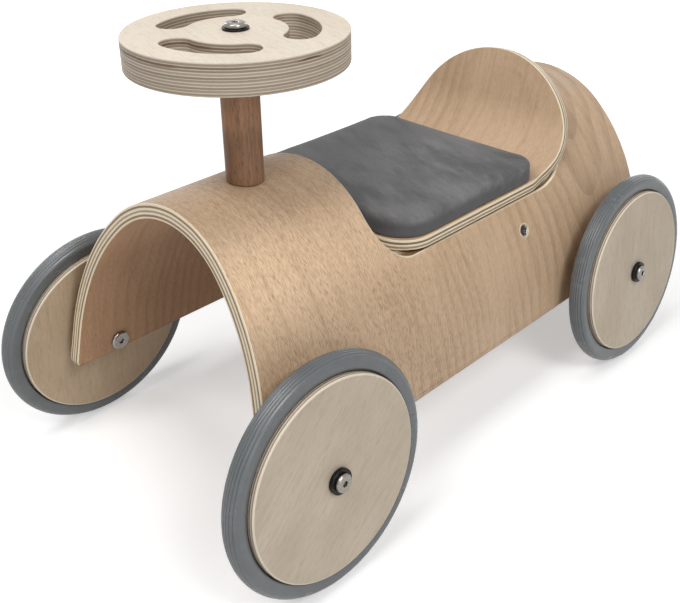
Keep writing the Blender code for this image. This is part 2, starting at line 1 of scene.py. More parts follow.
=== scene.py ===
"""Looks of the wooden ride-on car: bent beech plywood, birch plywood discs, rubber tyres and a suede pad.

Metres, in the frame of the CAD model. Sizes repeat the part's source, but for the pad, the tyres' crowns, the
lower corners of the legs, the eased edges and the axle screws' heads, which are finished here. Most pieces
are finer meshes that stand for CAD nodes, and every material is made of nodes.
"""

import json
import math

import bmesh
import bpy
import numpy as np
from mathutils import Euler, Matrix, Vector

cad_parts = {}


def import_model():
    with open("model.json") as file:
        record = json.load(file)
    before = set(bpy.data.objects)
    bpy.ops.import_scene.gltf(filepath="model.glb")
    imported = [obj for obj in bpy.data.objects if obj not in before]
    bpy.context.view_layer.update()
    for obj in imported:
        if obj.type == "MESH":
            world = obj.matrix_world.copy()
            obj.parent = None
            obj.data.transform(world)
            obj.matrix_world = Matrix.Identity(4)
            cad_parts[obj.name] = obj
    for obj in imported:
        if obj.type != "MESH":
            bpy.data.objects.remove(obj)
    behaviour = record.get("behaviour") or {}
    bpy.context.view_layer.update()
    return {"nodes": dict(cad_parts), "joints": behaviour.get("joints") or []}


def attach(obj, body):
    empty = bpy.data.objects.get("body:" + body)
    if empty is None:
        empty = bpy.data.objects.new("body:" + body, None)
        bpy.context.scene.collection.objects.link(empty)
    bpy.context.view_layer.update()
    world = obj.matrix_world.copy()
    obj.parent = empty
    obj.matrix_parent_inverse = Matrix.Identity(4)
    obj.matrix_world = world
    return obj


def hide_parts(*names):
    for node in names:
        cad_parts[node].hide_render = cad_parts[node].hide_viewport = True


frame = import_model()
JOINTS = {joint["name"]: joint for joint in frame["joints"]}
NODES = frame["nodes"]
CORNERS = ["front_left", "front_right", "rear_left", "rear_right"]
RIGHT_ANGLE = math.pi / 2

# Clearances
TOUCH = 0.0003
RUN = 0.0003
HOLE_FIT = 0.0003

# Wheels
CAMBER = math.radians(5.5)
DISC_RADIUS = 0.075
DISC_THICK = 0.021
DISC_ROUND = 0.0019
TYRE_HEIGHT = 0.0136
TYRE_WIDTH = 0.0150
TYRE_FOOT = 0.0112
TREAD_RADIUS = 0.0090
TREAD_EDGE = 0.0060
TREAD_GROOVES = (-0.0052, -0.0031, -0.0010, 0.0010, 0.0031, 0.0052)
GROOVE_WIDTH = 0.0009
GROOVE_DEPTH = 0.0007

# Axle hardware
SPACER_LENGTH = 0.0086
SPACER_EASE = 0.0004
BARREL_RADIUS = 0.0050
THREAD_RADIUS = 0.0033
THREAD_START = 0.010
SLEEVE_HEAD_RADIUS = 0.0083
SLEEVE_HEAD_HEIGHT = 0.0030
SLEEVE_RIM = 0.0002
AXLE_WASHER_RADIUS = 0.0096
AXLE_WASHER_THICK = 0.0032
AXLE_WASHER_EASE = 0.0006
AXLE_SCREW_LENGTH = 0.022
AXLE_HEAD_RADIUS = 0.0070
BUTTON_RADIUS = 0.0076
BUTTON_HEIGHT = 0.0030
BUTTON_SHANK = 0.0030
BUTTON_RIM = 0.0003
SOCKET_WIDTH = 0.0042
SOCKET_DEPTH = 0.0022
SOCKET_BEVEL = 0.0003
POINT_RADIUS = 0.0004
POINT_DEPTH = 0.0006
DISC_TO_FLANK = DISC_THICK / 2 + RUN + SPACER_LENGTH + TOUCH

# Body arch, with its mesh's rows from crown to seat opening, flank screw, axle and leg corner
SHELL_THICK = 0.011
CROWN_RADIUS = 0.092
CROWN_ANGLE = math.radians(42)
SHOULDER_RADIUS = 0.165
SHOULDER_ANGLE = math.radians(66)
FLANK_RADIUS = 0.190
FRONT_X = JOINTS["roll_front_left"]["pos_m"][0]
REAR_X = JOINTS["roll_rear_left"]["pos_m"][0]
WHEEL_Z = JOINTS["roll_front_left"]["pos_m"][2]
RIDGE_Z = WHEEL_Z + 0.1568
FOOT_Z = WHEEL_Z - 0.0114
NOSE_X = FRONT_X + 0.0395
NOSE_RAKE = math.radians(10.5)
TAIL_X = REAR_X - 0.0495
LEG_CORNER = 0.0050
EDGE_ROUND = 0.0008
ARCH_ROWS = (24, 6, 19, 2)
CORNER_ROWS = 6

# Seat opening and seat board
COWL_X = FRONT_X - 0.117
COWL_LEAN = math.radians(7)
COWL_CORNER = 0.030
SEAT_CUT_Z = WHEEL_Z + 0.0954
SEAT_GAP = 0.0020
BACK_GAP = 0.0025
BOARD_THICK = 0.0084
SEAT_Z = SEAT_CUT_Z + SEAT_GAP + BOARD_THICK
SEAT_FRONT_X = FRONT_X - 0.1305
SEAT_LENGTH = 0.1737
SEAT_CORNER = 0.028
BEND_X = SEAT_FRONT_X - SEAT_LENGTH
BEND_RADIUS = 0.055
BEND_TURN = math.radians(75)
BEND_STEPS = 30
BACKREST_RADIUS = 0.0885
BACKREST_REACH = 0.0253
TAPER_LENGTH = 0.024

# Seat pad
PAD_THICK = 0.0162
PAD_SIDE_INSET = 0.0020
PAD_FRONT_INSET = 0.0018
PAD_LENGTH = 0.1755
PAD_CORNER = 0.0300
PAD_BACK_CORNER = 0.0230
PAD_EDGE = 0.0040
PAD_DRAW_IN = 0.0007
PAD_SLACK = 0.0002
PAD_SWELL = 0.0010
PAD_PRESSURE = 4.0
PAD_HELD = 0.001
SWELL_FRAMES = 20

# Screws and crossbars
REAR_BAR_X = FRONT_X - 0.2702
FRONT_BAR_X = FRONT_X - 0.1650
BAR_EASE = 0.0012
FLANK_SCREW_Z = WHEEL_Z + 0.0729
FLANK_SCREW_LENGTH = 0.032
FLANK_SCREW_RECESS = 0.0006
FLANK_HEAD_RADIUS = 0.0056
FLANK_SOCKET = 0.0084
FLANK_SOCKET_TAPER = 0.55
SCREW_POINT = 0.006
SEAT_SCREW_SPREAD = 0.090
SEAT_SCREW_LENGTH = 0.030
SEAT_HEAD_RADIUS = 0.0045
COUNTERSUNK_HEIGHT = 0.0030
WOOD_SHANK = 0.0021

# Steering
STEERING_X = FRONT_X - 0.0585
COLUMN_RADIUS = 0.014
COLUMN_EASE = 0.0006
BOLT_EASE = 0.0003
RIM_Z = JOINTS["steer"]["pos_m"][2]
RIM_RADIUS = 0.0775
RIM_THICK = 0.0218
RIM_ROUND = 0.0008
SLOT_RADIUS = 0.0468
SLOT_WIDTH = 0.022
SLOT_SPAN = math.radians(63)
SLOT_TURNS = [math.radians(angle) for angle in (26, 146, 266)]
STEERING_WASHER_RADIUS = 0.0094
STEERING_WASHER_THICK = 0.0014
STEERING_WASHER_EASE = 0.0005
STEERING_SCREW_LENGTH = 0.060

# Plies, and the fineness of the meshes
PLIES_SHELL = 7
PLIES_BOARD = 5
PLIES_DISC = 21
PLIES_RIM = 21
FASTENER_SIDES = 48
WASHER_SIDES = 64
COLUMN_SIDES = 96
DISC_SIDES = 128
TYRE_SIDES = 160
SHARP_ANGLE = math.radians(38)
NEAR = 2e-5

# How far the cutting tools reach past what they cut
BEYOND = 0.05
CUT_REACH = 0.2
HOLE_REACH = 0.01

# Stage
FLOOR_SIZE = 6.0
FLOOR_GLOW = 0.38
AMBIENT = 0.08
LAMP_SIZE = 0.7
LAMP_TARGET = (0.0, 0.0, 0.15)
LAMPS = [
    ("above", (0.25, 0.05, 1.9), 6.0),
    ("front_high", (1.1, 0.0, 1.65), 12.0),
    ("left_high", (0.35, 1.3, 1.5), 14.0),
    ("left", (0.6, 1.85, 0.6), 4.0),
    ("right", (-0.2, -1.8, 0.9), 7.0),
    ("back", (-1.8, -0.3, 0.9), 5.0),
]
CAMERA_PLACE = (0.538202, 0.492124, 0.520072)
CAMERA_AZIMUTH = math.radians(135.241)
CAMERA_ELEVATION = math.radians(28.979)
CAMERA_ROLL = math.radians(-0.9835)
CAMERA_SHIFT = (0.01045, -0.04903)


# Meshes


def from_bmesh(name, bm):
    bmesh.ops.remove_doubles(bm, verts=bm.verts, dist=1e-7)
    bmesh.ops.recalc_face_normals(bm, faces=bm.faces)
    mesh = bpy.data.meshes.new(name)
    bm.to_mesh(mesh)
    bm.free()
    return mesh


def solid(name, verts, faces):
    """A mesh with its faces turned outwards."""
    bm = bmesh.new()
    made = [bm.verts.new(v) for v in verts]
    for face in faces:
        bm.faces.new([made[i] for i in face])
    return from_bmesh(name, bm)


def place(name, data, matrix=None):
    obj = bpy.data.objects.new(name, data)
    bpy.context.scene.collection.objects.link(obj)
    obj.matrix_world = matrix or Matrix()
    return obj


def final_mesh(obj):
    """A new mesh of the object with its modifiers in it."""
    bpy.context.view_layer.update()
    graph = bpy.context.evaluated_depsgraph_get()
    return bpy.data.meshes.new_from_object(obj.evaluated_get(graph))


def applied(obj):
    """Makes the object's modifiers part of its mesh."""
    mesh = final_mesh(obj)
    obj.modifiers.clear()
    obj.data = mesh


def coordinates(mesh):
    co = np.empty(len(mesh.vertices) * 3)
    mesh.vertices.foreach_get("co", co)
    return co.reshape(-1, 3)


def area_normals(mesh):
    """Vertex normals in which faces count by area, so that large faces stay flat beside narrow roundings."""
    normals = np.zeros((len(mesh.vertices), 3))
    for face in mesh.polygons:
        normals[list(face.vertices)] += np.array(face.normal) * face.area
    lengths = np.linalg.norm(normals, axis=1, keepdims=True)
    return normals / np.maximum(lengths, 1e-20)


def smooth(mesh, normals=None):
    mesh.shade_smooth()
    mesh.normals_split_custom_set_from_vertices(area_normals(mesh) if normals is None else normals)
    return mesh


def loft(name, rings, closed=False):
    """Rings of points joined into a skin. An open loft has both ends filled."""
    count = len(rings[0])
    verts = [point for ring in rings for point in ring]
    faces = []
    pairs = list(range(len(rings) - 1)) + ([-1] if closed else [])
    for k in pairs:
        low = (k % len(rings)) * count
        high = ((k + 1) % len(rings)) * count
        faces += [(low + i, low + (i + 1) % count, high + (i + 1) % count, high + i) for i in range(count)]
    if not closed:
        last = (len(rings) - 1) * count
        faces += [tuple(range(count)), tuple(range(last, last + count))]
    return solid(name, verts, faces)


def arc(centre, radius, start, end, steps):
    """Points along an arc, with both ends."""
    x, y = centre
    turns = [start + (end - start) * i / steps for i in range(steps + 1)]
    return [(x + radius * math.cos(a), y + radius * math.sin(a)) for a in turns]


def round_line(radius, sides):
    return arc((0, 0), radius, 0, 2 * math.pi, sides)[:-1]


def circle(radius, z, sides=FASTENER_SIDES):
    return [(x, y, z) for x, y in round_line(radius, sides)]


def hexagon(width, z):
    """A hexagon across the flats, with as many points as a fastener's circle."""
    sector = math.pi / 3
    points = []
    for i in range(FASTENER_SIDES):
        a = 2 * math.pi * i / FASTENER_SIDES
        radius = width / 2 / math.cos(a % sector - sector / 2)
        points.append((radius * math.cos(a), radius * math.sin(a), z))
    return points


def ring_path(inner, outer, low, high, ease):
    """Closed section of a flat ring, (radius, height), with its outer edges eased."""
    below = arc((outer - ease, low + ease), ease, -RIGHT_ANGLE, 0, 4)
    above = [(r, low + high - z) for r, z in reversed(below)]
    return [(inner, low), *below, *above, (inner, high)]


def lathe(path, sides):
    """A closed path of (radius, height) spun about Z."""
    return smooth(loft("lathe", [circle(r, z, sides) for r, z in path], closed=True))


def carve(obj, tools):
    """Cuts the tools out of the object, and removes them."""
    for tool in tools:
        boolean = obj.modifiers.new(tool.name, "BOOLEAN")
        boolean.operation = "DIFFERENCE"
        boolean.solver = "EXACT"
        boolean.object = tool
    applied(obj)
    for tool in tools:
        bpy.data.objects.remove(tool, do_unlink=True)


def clean(mesh):
    bm = bmesh.new()
    bm.from_mesh(mesh)
    bmesh.ops.remove_doubles(bm, verts=bm.verts, dist=NEAR)
    bmesh.ops.dissolve_degenerate(bm, edges=bm.edges, dist=NEAR)
    bm.to_mesh(mesh)
    bm.free()


def eased(obj, width, angle):
    """Rounds the edges that turn by more than an angle."""
    bevel = obj.modifiers.new("eased", "BEVEL")
    bevel.width = width
    bevel.segments = 2
    bevel.limit_method = "ANGLE"
    bevel.angle_limit = math.radians(angle)
    return bevel


def finish_sheet(mesh, across, along, depth, out, thick):
    """Stores each point's place in the flat sheet of plywood, across the grain, along it and below its face,
    and gives the two faces their true normals.
    """
    attribute = mesh.attributes.new("sheet", "FLOAT_VECTOR", "POINT")
    attribute.data.foreach_set("vector", np.stack([across, along, depth], 1).astype(np.float32).ravel())
    normals = area_normals(mesh)
    for face, sign in ((np.abs(depth) < NEAR, 1), (np.abs(depth - thick) < NEAR, -1)):
        normals[face] = sign * out[face]
    smooth(mesh, normals)


def facing(place_at, out):
    """A frame at a point with Z along a direction and X forward."""
    ahead = Vector((1, 0, 0))
    turn = Matrix((ahead, out.cross(ahead), out)).transposed()
    return Matrix.Translation(place_at) @ turn.to_4x4()


def lifted(height):
    return Matrix.Translation((0, 0, height))


def wheel_place(corner):
    joint = JOINTS["roll_" + corner]
    return facing(joint["pos_m"], Vector(joint["axis"]).normalized())


# Fasteners


def socket(width, top, way, taper=1.0):
    """Rings of a hexagonal socket with a bevelled mouth, sunk from a height upwards (1) or downwards (-1)."""
    return [
        hexagon(width + 2 * SOCKET_BEVEL, top),
        hexagon(width, top + way * SOCKET_BEVEL),
        hexagon(taper * width, top + way * SOCKET_DEPTH),
        circle(POINT_RADIUS, top + way * (SOCKET_DEPTH + POINT_DEPTH)),
    ]


def dome(radius, height, crown, side):
    """Rounding of a button head, (radius, height). Its flat crown and upright side are given as shares."""
    turns = arc((0, 0), 1, 0, RIGHT_ANGLE, 8)
    return [(radius * (crown + (1 - crown) * x), height * (side + (1 - side) * y)) for x, y in turns]


def circles(profile):
    return [circle(r, z) for r, z in profile]


def turned_metal(rings):
    mesh = loft("metal", rings)
    mesh.shade_smooth()
    mesh.set_sharp_from_angle(angle=SHARP_ANGLE)
    return mesh


def domed_screw(head_radius, length):
    """A domed socket screw: its head sits on height 0 and the shank runs down."""
    tip = 0.3 * BUTTON_SHANK
    profile = [(BUTTON_SHANK - tip, -length), (BUTTON_SHANK, tip - length), (BUTTON_SHANK, 0)]
    profile += [(head_radius - BUTTON_RIM, 0), (head_radius, BUTTON_RIM)]
    profile += dome(head_radius, BUTTON_HEIGHT, 0.74, 0.34)
    return turned_metal(circles(profile) + socket(SOCKET_WIDTH, BUTTON_HEIGHT, -1))


def flank_screw():
    """A countersunk socket screw with its flat top at height 0."""
    profile = [(POINT_RADIUS, -FLANK_SCREW_LENGTH), (WOOD_SHANK, SCREW_POINT - FLANK_SCREW_LENGTH)]
    profile += [(WOOD_SHANK, -COUNTERSUNK_HEIGHT), (FLANK_HEAD_RADIUS, -SOCKET_BEVEL)]
    profile.append((FLANK_HEAD_RADIUS - SOCKET_BEVEL, 0))
    return turned_metal(circles(profile) + socket(FLANK_SOCKET, 0, -1, FLANK_SOCKET_TAPER))


def sleeve():
    """Barrel nut of an axle: a domed head inside the leg and a barrel out to the washer."""
    seat = -DISC_TO_FLANK - SHELL_THICK - TOUCH
    barrel_end = DISC_THICK / 2 + RUN - TOUCH
    head = dome(SLEEVE_HEAD_RADIUS, SLEEVE_HEAD_HEIGHT, 0.66, 0.35)
    profile = [(r, seat - z) for r, z in reversed(head)]
    profile += [
        (SLEEVE_HEAD_RADIUS, seat - SLEEVE_RIM),
        (SLEEVE_HEAD_RADIUS - SLEEVE_RIM, seat),
        (BARREL_RADIUS, seat),
        (BARREL_RADIUS, barrel_end),
        (THREAD_RADIUS, barrel_end),
        (THREAD_RADIUS, seat + THREAD_START),
    ]
    return turned_metal(socket(SOCKET_WIDTH, seat - SLEEVE_HEAD_HEIGHT, 1)[::-1] + circles(profile))


def rod(radius, low, high):
    return loft("rod", circles([(radius, low), (radius, high)]))


def countersunk_hole(head_radius, length):
    """Hole for a countersunk screw, open above."""
    shank, head = WOOD_SHANK + HOLE_FIT, head_radius + HOLE_FIT
    profile = [(shank, -length - HOLE_FIT), (shank, -COUNTERSUNK_HEIGHT), (head, 0), (head, HOLE_REACH)]
    return loft("hole", circles(profile))


# Body arch


def arch_parts():
    """The half arch's arcs as (centre, radius, start, end, length before), and its leg's start."""
    arcs = []
    at = Vector((0.0, RIDGE_Z))
    start = 0.0
    before = 0.0
    flank = FLANK_RADIUS, RIGHT_ANGLE - CAMBER
    for radius, end in ((CROWN_RADIUS, CROWN_ANGLE), (SHOULDER_RADIUS, SHOULDER_ANGLE), flank):
        centre = at - radius * Vector((math.sin(start), math.cos(start)))
        arcs.append((centre, radius, start, end, before))
        at = centre + radius * Vector((math.sin(end), math.cos(end)))
        before += radius * (end - start)
        start = end
    return arcs, at, before


ARCS, LEG_TOP, LEG_START = arch_parts()
LEG_DOWN = Vector((math.sin(CAMBER), -math.cos(CAMBER)))
LEG_OUT = Vector((math.cos(CAMBER), math.sin(CAMBER)))


def arch_point(a, depth):
    """(y, z) of the half arch, this far round its outer face from the crown and this deep."""
    for centre, radius, start, end, before in ARCS:
        turn = start + (a - before) / radius
        if turn <= end:
            return centre + (radius - depth) * Vector((math.sin(turn), math.cos(turn)))
    return LEG_TOP + (a - LEG_START) * LEG_DOWN - depth * LEG_OUT


def arch_place(y, z):
    """For arrays of points: how far round the arch, how deep, and the outward normal."""
    side = np.sign(y)
    y = np.abs(y)
    a = LEG_START + (y - LEG_TOP.x) * LEG_DOWN.x + (z - LEG_TOP.y) * LEG_DOWN.y
    depth = -((y - LEG_TOP.x) * LEG_OUT.x + (z - LEG_TOP.y) * LEG_OUT.y)
    out = np.tile([0.0, *LEG_OUT], (len(y), 1))
    for centre, radius, start, end, before in reversed(ARCS):
        turn = np.arctan2(y - centre.x, z - centre.y)
        here = turn <= end
        a = np.where(here, before + radius * (turn - start), a)
        depth = np.where(here, radius - np.hypot(y - centre.x, z - centre.y), depth)
        out[here, 1] = np.sin(turn[here])
        out[here, 2] = np.cos(turn[here])
    out[:, 1] *= side
    return side * a, depth, out


def arch_at_height(z, depth):
    """How far round the arch a height is reached."""
    low, high = 0.0, LEG_START + 0.2
    for _ in range(60):
        middle = (low + high) / 2
        if arch_point(middle, depth).y > z:
            low = middle
        else:
            high = middle
    return low


def arch_rows(depth):
    """Places round the half arch from crown to foot, and how far the ends of the arch draw in there to round
    the corners of the legs. Rows lie on the edge of the seat opening and on the middles of the holes, so that
    none only grazes a hole.
    """
    hub = wheel_place("front_left") @ Vector((0, 0, -DISC_TO_FLANK))
    cut, screw = arch_at_height(SEAT_CUT_Z, depth), arch_at_height(FLANK_SCREW_Z, 0)
    corner = arch_at_height(FOOT_Z, depth) - LEG_CORNER
    marks = [0.0, cut, screw, arch_at_height(hub.z, 0), corner]
    rows = []
    for start, end, steps in zip(marks, marks[1:], ARCH_ROWS):
        rows += [(start + (end - start) * k / steps, 0.0) for k in range(steps)]
    return rows + arc((corner, LEG_CORNER), LEG_CORNER, -RIGHT_ANGLE, 0, CORNER_ROWS)


def nose_x(z):
    return NOSE_X - (z - WHEEL_Z) * math.tan(NOSE_RAKE)


def arch_prism():
    """The arch before it is cut, from tail to raked nose."""
    lines = []
    for depth in (0, SHELL_THICK):
        half = [(*arch_point(a, depth), draw) for a, draw in arch_rows(depth)]
        lines.append([(-y, z, draw) for y, z, draw in half[:0:-1]] + half)
    count = len(lines[0])
    verts = []
    for line in lines:
        verts += [(TAIL_X + draw, y, z) for y, z, draw in line]
    for line in lines:
        verts += [(nose_x(z) - draw, y, z) for y, z, draw in line]
    inner, nose = count, 2 * count
    faces = []
    for i in range(count - 1):
        faces.append((i, i + 1, nose + i + 1, nose + i))
        faces.append((inner + i, inner + i + 1, nose + inner + i + 1, nose + inner + i))
        faces.append((i, i + 1, inner + i + 1, inner + i))
        faces.append((nose + i, nose + i + 1, nose + inner + i + 1, nose + inner + i))
    for i in (0, count - 1):
        faces.append((i, inner + i, nose + inner + i, nose + i))
    return solid("body_shell_wood", verts, faces)


def opening_outline():
    """Side view of the seat opening, (x, z), as the source cuts it."""
    top = RIDGE_Z + BEYOND
    corner_z = SEAT_CUT_Z + COWL_CORNER
    slope = math.tan(COWL_LEAN)
    corner_x = COWL_X + slope * (RIDGE_Z - corner_z) - COWL_CORNER / math.cos(COWL_LEAN)
    cowl = arc((corner_x, corner_z), COWL_CORNER, COWL_LEAN, -RIGHT_ANGLE, 16)
    centre, radius = (BEND_X - BACK_GAP, SEAT_Z + BEND_RADIUS), BEND_RADIUS + BOARD_THICK + SEAT_GAP
    back = arc(centre, radius, -RIGHT_ANGLE, -RIGHT_ANGLE - BEND_TURN, 24)
    x, z = back[-1]
    return [(COWL_X - slope * BEYOND, top), *cowl, *back, (x - (top - z) / math.tan(BEND_TURN), top)]


def flank_screw_places():
    """Frames of the two flank screws, sunk a little into the flanks."""
    a = arch_at_height(FLANK_SCREW_Z, 0)
    face, above = arch_point(a, 0), arch_point(a, -0.001)
    places = {}
    for side, sign in (("left", 1), ("right", -1)):
        out = Vector((0, sign * (above.x - face.x), above.y - face.y)).normalized()
        places[side] = facing((REAR_BAR_X, sign * face.x, face.y), out) @ lifted(-FLANK_SCREW_RECESS)
    return places


def body_shell():
    """The arch: bent, cut, drilled, and eased along every edge."""
    shell = place("body_shell_wood", arch_prism())
    opening = [[(x, y, z) for x, z in opening_outline()] for y in (-CUT_REACH, CUT_REACH)]
    tools = [place("opening", loft("opening", opening))]
    low, high = -DISC_TO_FLANK - SHELL_THICK - HOLE_REACH, -DISC_TO_FLANK + HOLE_REACH / 2
    for corner in CORNERS:
        tools.append(place("axle_hole", rod(BARREL_RADIUS + HOLE_FIT, low, high), wheel_place(corner)))
    for spot in flank_screw_places().values():
        tools.append(place("flank_hole", countersunk_hole(FLANK_HEAD_RADIUS, FLANK_SCREW_LENGTH), spot))
    bolt = rod(BUTTON_SHANK + HOLE_FIT, RIDGE_Z - SHELL_THICK - 2 * HOLE_REACH, RIDGE_Z + HOLE_REACH)
    tools.append(place("bolt_hole", bolt, Matrix.Translation((STEERING_X, 0, 0))))
    carve(shell, tools)
    clean(shell.data)
    eased(shell, EDGE_ROUND, 35).use_clamp_overlap = False
    applied(shell)
    x, y, z = coordinates(shell.data).T
    finish_sheet(shell.data, x, *arch_place(y, z), SHELL_THICK)
    return shell


# Seat board


def seat_half_width():
    return arch_point(arch_at_height(SEAT_CUT_Z, 0), 0).x


def board_outline():
    """Flat outline of the board, (y, s), with s measured back from the start of the bend."""
    seat, steps = seat_half_width(), 8
    half = arc((seat - SEAT_CORNER, SEAT_CORNER - SEAT_LENGTH), SEAT_CORNER, -RIGHT_ANGLE, 0, 12)
    for t in [i / steps for i in range(steps + 1)]:
        half.append((seat + (BACKREST_RADIUS - seat) * t * t * (3 - 2 * t), TAPER_LENGTH * (t - 0.5)))
    half += arc((0, BACKREST_REACH), BACKREST_RADIUS, 0, RIGHT_ANGLE, 32)[1:-1]
    return half + [(0.0, BACKREST_REACH + BACKREST_RADIUS)] + [(-y, s) for y, s in reversed(half)]


def bent(s, depth):
    """(x, z) on the bent board."""
    if s <= 0:
        return BEND_X - s, SEAT_Z - depth
    a = min(s / BEND_RADIUS, BEND_TURN)
    on = max(s - BEND_RADIUS * BEND_TURN, 0)
    x = BEND_X - (BEND_RADIUS + depth) * math.sin(a) - on * math.cos(a)
    return x, SEAT_Z + BEND_RADIUS - (BEND_RADIUS + depth) * math.cos(a) + on * math.sin(a)


def board_place(x, z):
    """For arrays of points: how far along the board, how deep, and the normal of its upper face."""
    centre_z = SEAT_Z + BEND_RADIUS
    turn = np.arctan2(BEND_X - x, centre_z - z)
    s = BEND_RADIUS * turn
    depth = np.hypot(BEND_X - x, centre_z - z) - BEND_RADIUS
    up = np.stack([np.sin(turn), np.zeros_like(x), np.cos(turn)], 1)
    flat = x >= BEND_X
    s = np.where(flat, BEND_X - x, s)
    depth = np.where(flat, SEAT_Z - z, depth)
    up[flat] = (0, 0, 1)
    cos, sin = math.cos(BEND_TURN), math.sin(BEND_TURN)
    foot_x, foot_z = bent(BEND_RADIUS * BEND_TURN, 0)
    on = (foot_x - x) * cos + (z - foot_z) * sin
    straight = (~flat) & (turn > BEND_TURN)
    s = np.where(straight, BEND_RADIUS * BEND_TURN + on, s)
    depth = np.where(straight, (foot_x - x) * sin - (z - foot_z) * cos, depth)
    up[straight] = (sin, 0, cos)
    return s, depth, up


def seat_board():
    """A flat board with eased edges, bent up into the backrest, with its screw holes."""
    bm = bmesh.new()
    face = bm.faces.new([bm.verts.new((y, s, 0)) for y, s in board_outline()])
    moved = bmesh.ops.extrude_face_region(bm, geom=[face])["geom"]
    lower = [v for v in moved if isinstance(v, bmesh.types.BMVert)]
    bmesh.ops.translate(bm, verts=lower, vec=(0, 0, BOARD_THICK))
    rims = [e for e in bm.edges if abs(e.verts[0].co.z - e.verts[1].co.z) < 1e-6]
    bmesh.ops.bevel(bm, geom=rims, offset=EDGE_ROUND, segments=2, profile=0.5, affect="EDGES")
    for i in range(BEND_STEPS + 1):
        geom = list(bm.verts) + list(bm.edges) + list(bm.faces)
        start = (0, BEND_RADIUS * BEND_TURN * i / BEND_STEPS, 0)
        bmesh.ops.bisect_plane(bm, geom=geom, dist=1e-6, plane_co=start, plane_no=(0, 1, 0))
    for vert in bm.verts:
        y, s, depth = vert.co
        x, z = bent(s, depth)
        vert.co = (x, y, z)
    board = place("seat_board_wood", from_bmesh("seat_board_wood", bm))
    tools = []
    for x in (FRONT_BAR_X, REAR_BAR_X):
        for y in (-SEAT_SCREW_SPREAD / 2, SEAT_SCREW_SPREAD / 2):
            hole = countersunk_hole(SEAT_HEAD_RADIUS, SEAT_SCREW_LENGTH)
            tools.append(place("seat_hole", hole, Matrix.Translation((x, y, SEAT_Z))))
    carve(board, tools)
    x, y, z = coordinates(board.data).T
    finish_sheet(board.data, y, *board_place(x, z), BOARD_THICK)
    return board


# Seat pad


def pad_ring(inset):
    """Rounded plan of the pad, this far in from its edge, with slightly drawn-in sides."""
    corner_steps, side_steps = 14, 24
    length = PAD_LENGTH / 2
    width = seat_half_width() - PAD_SIDE_INSET
    corners = []
    for i, (along, across) in enumerate(((1, 1), (-1, 1), (-1, -1), (1, -1))):
        radius = PAD_CORNER if along > 0 else PAD_BACK_CORNER
        radius = max(radius - inset, 0.25 * radius)
        middle = Vector((along * (length - inset - radius), across * (width - inset - radius)))
        turns = [RIGHT_ANGLE * (i + k / corner_steps) for k in range(corner_steps + 1)]
        corners.append([middle + radius * Vector((math.cos(a), math.sin(a))) for a in turns])
    points = []
    for i, corner in enumerate(corners):
        points += corner
        start, end = corner[-1], corners[(i + 1) % 4][0]
        inward = Vector(((0, -1), (1, 0), (0, 1), (-1, 0))[i])
        for k in range(1, side_steps):
            t = k / side_steps
            points.append(start.lerp(end, t) + inward * PAD_DRAW_IN * math.sin(math.pi * t))
    return points


def pad_skin():
    """The pad before it swells: a flat foot, upright sides, a rounded upper edge and a nearly flat top."""
    foot = SEAT_Z + TOUCH
    top = foot + PAD_THICK - PAD_SLACK
    rim = top - PAD_EDGE
    levels = [(0.0022, foot), (0.0004, foot + 0.0001), (0, foot + 0.0008)]
    levels += [(0, foot + 0.0035), (0, (foot + rim) / 2 + 0.001), (0, rim)]
    levels += arc((PAD_EDGE, rim), PAD_EDGE, math.pi, RIGHT_ANGLE, 6)[1:]
    levels += [(inset, top) for inset in (0.009, 0.013, 0.017, 0.021)]
    rings = [[(p.x, p.y, z) for p in pad_ring(inset)] for inset, z in levels]
    last = rings[-1]
    ridge = abs(PAD_LENGTH / 2 - seat_half_width())
    for i in range(1, 13):
        t = 1 - i / 12.4
        ring = []
        for x, y, z in last:
            middle = min(max(x, -ridge), ridge)
            ring.append((middle + (x - middle) * t, y * t, z))
        rings.append(ring)
    centre = SEAT_FRONT_X - PAD_FRONT_INSET - PAD_LENGTH / 2
    return loft("seat_pad_suede", [[(centre + x, y, z) for x, y, z in ring] for ring in rings])


def swell(obj, held_below, limit):
    """Cloth pressure fills the skin out. Points below a height are held, and none moves past a limit."""
    start = coordinates(obj.data)
    held = obj.vertex_groups.new(name="held")
    held.add([int(i) for i in np.flatnonzero(start[:, 2] < held_below)], 1.0, "REPLACE")
    cloth = obj.modifiers.new("swell", "CLOTH")
    cloth.settings.quality = 6
    cloth.settings.use_pressure = True
    cloth.settings.uniform_pressure_force = PAD_PRESSURE
    cloth.settings.vertex_group_mass = held.name
    cloth.settings.effector_weights.gravity = 0.0
    cloth.point_cache.frame_start = 1
    cloth.point_cache.frame_end = SWELL_FRAMES
    for step in range(1, SWELL_FRAMES + 1):
        bpy.context.scene.frame_set(step)
    graph = bpy.context.evaluated_depsgraph_get()
    moved = coordinates(obj.evaluated_get(graph).data) - start
    obj.modifiers.remove(cloth)
    obj.vertex_groups.clear()
    bpy.context.scene.frame_set(1)
    length = np.linalg.norm(moved, axis=1, keepdims=True)
    moved *= limit * np.tanh(length / limit) / np.maximum(length, 1e-12)
    obj.data.vertices.foreach_set("co", (start + moved).ravel())
    obj.data.update()


def seat_pad():
    """A foam pad under suede, filled out by cloth pressure and smoothed by one subdivision."""
    pad = place("seat_pad_suede", pad_skin())
    swell(pad, SEAT_Z + TOUCH + PAD_HELD, PAD_SWELL)
    subdivision = pad.modifiers.new("soft", "SUBSURF")
    subdivision.levels = subdivision.render_levels = 1
    applied(pad)
    smooth(pad.data)
    return pad


# Tyres and steering


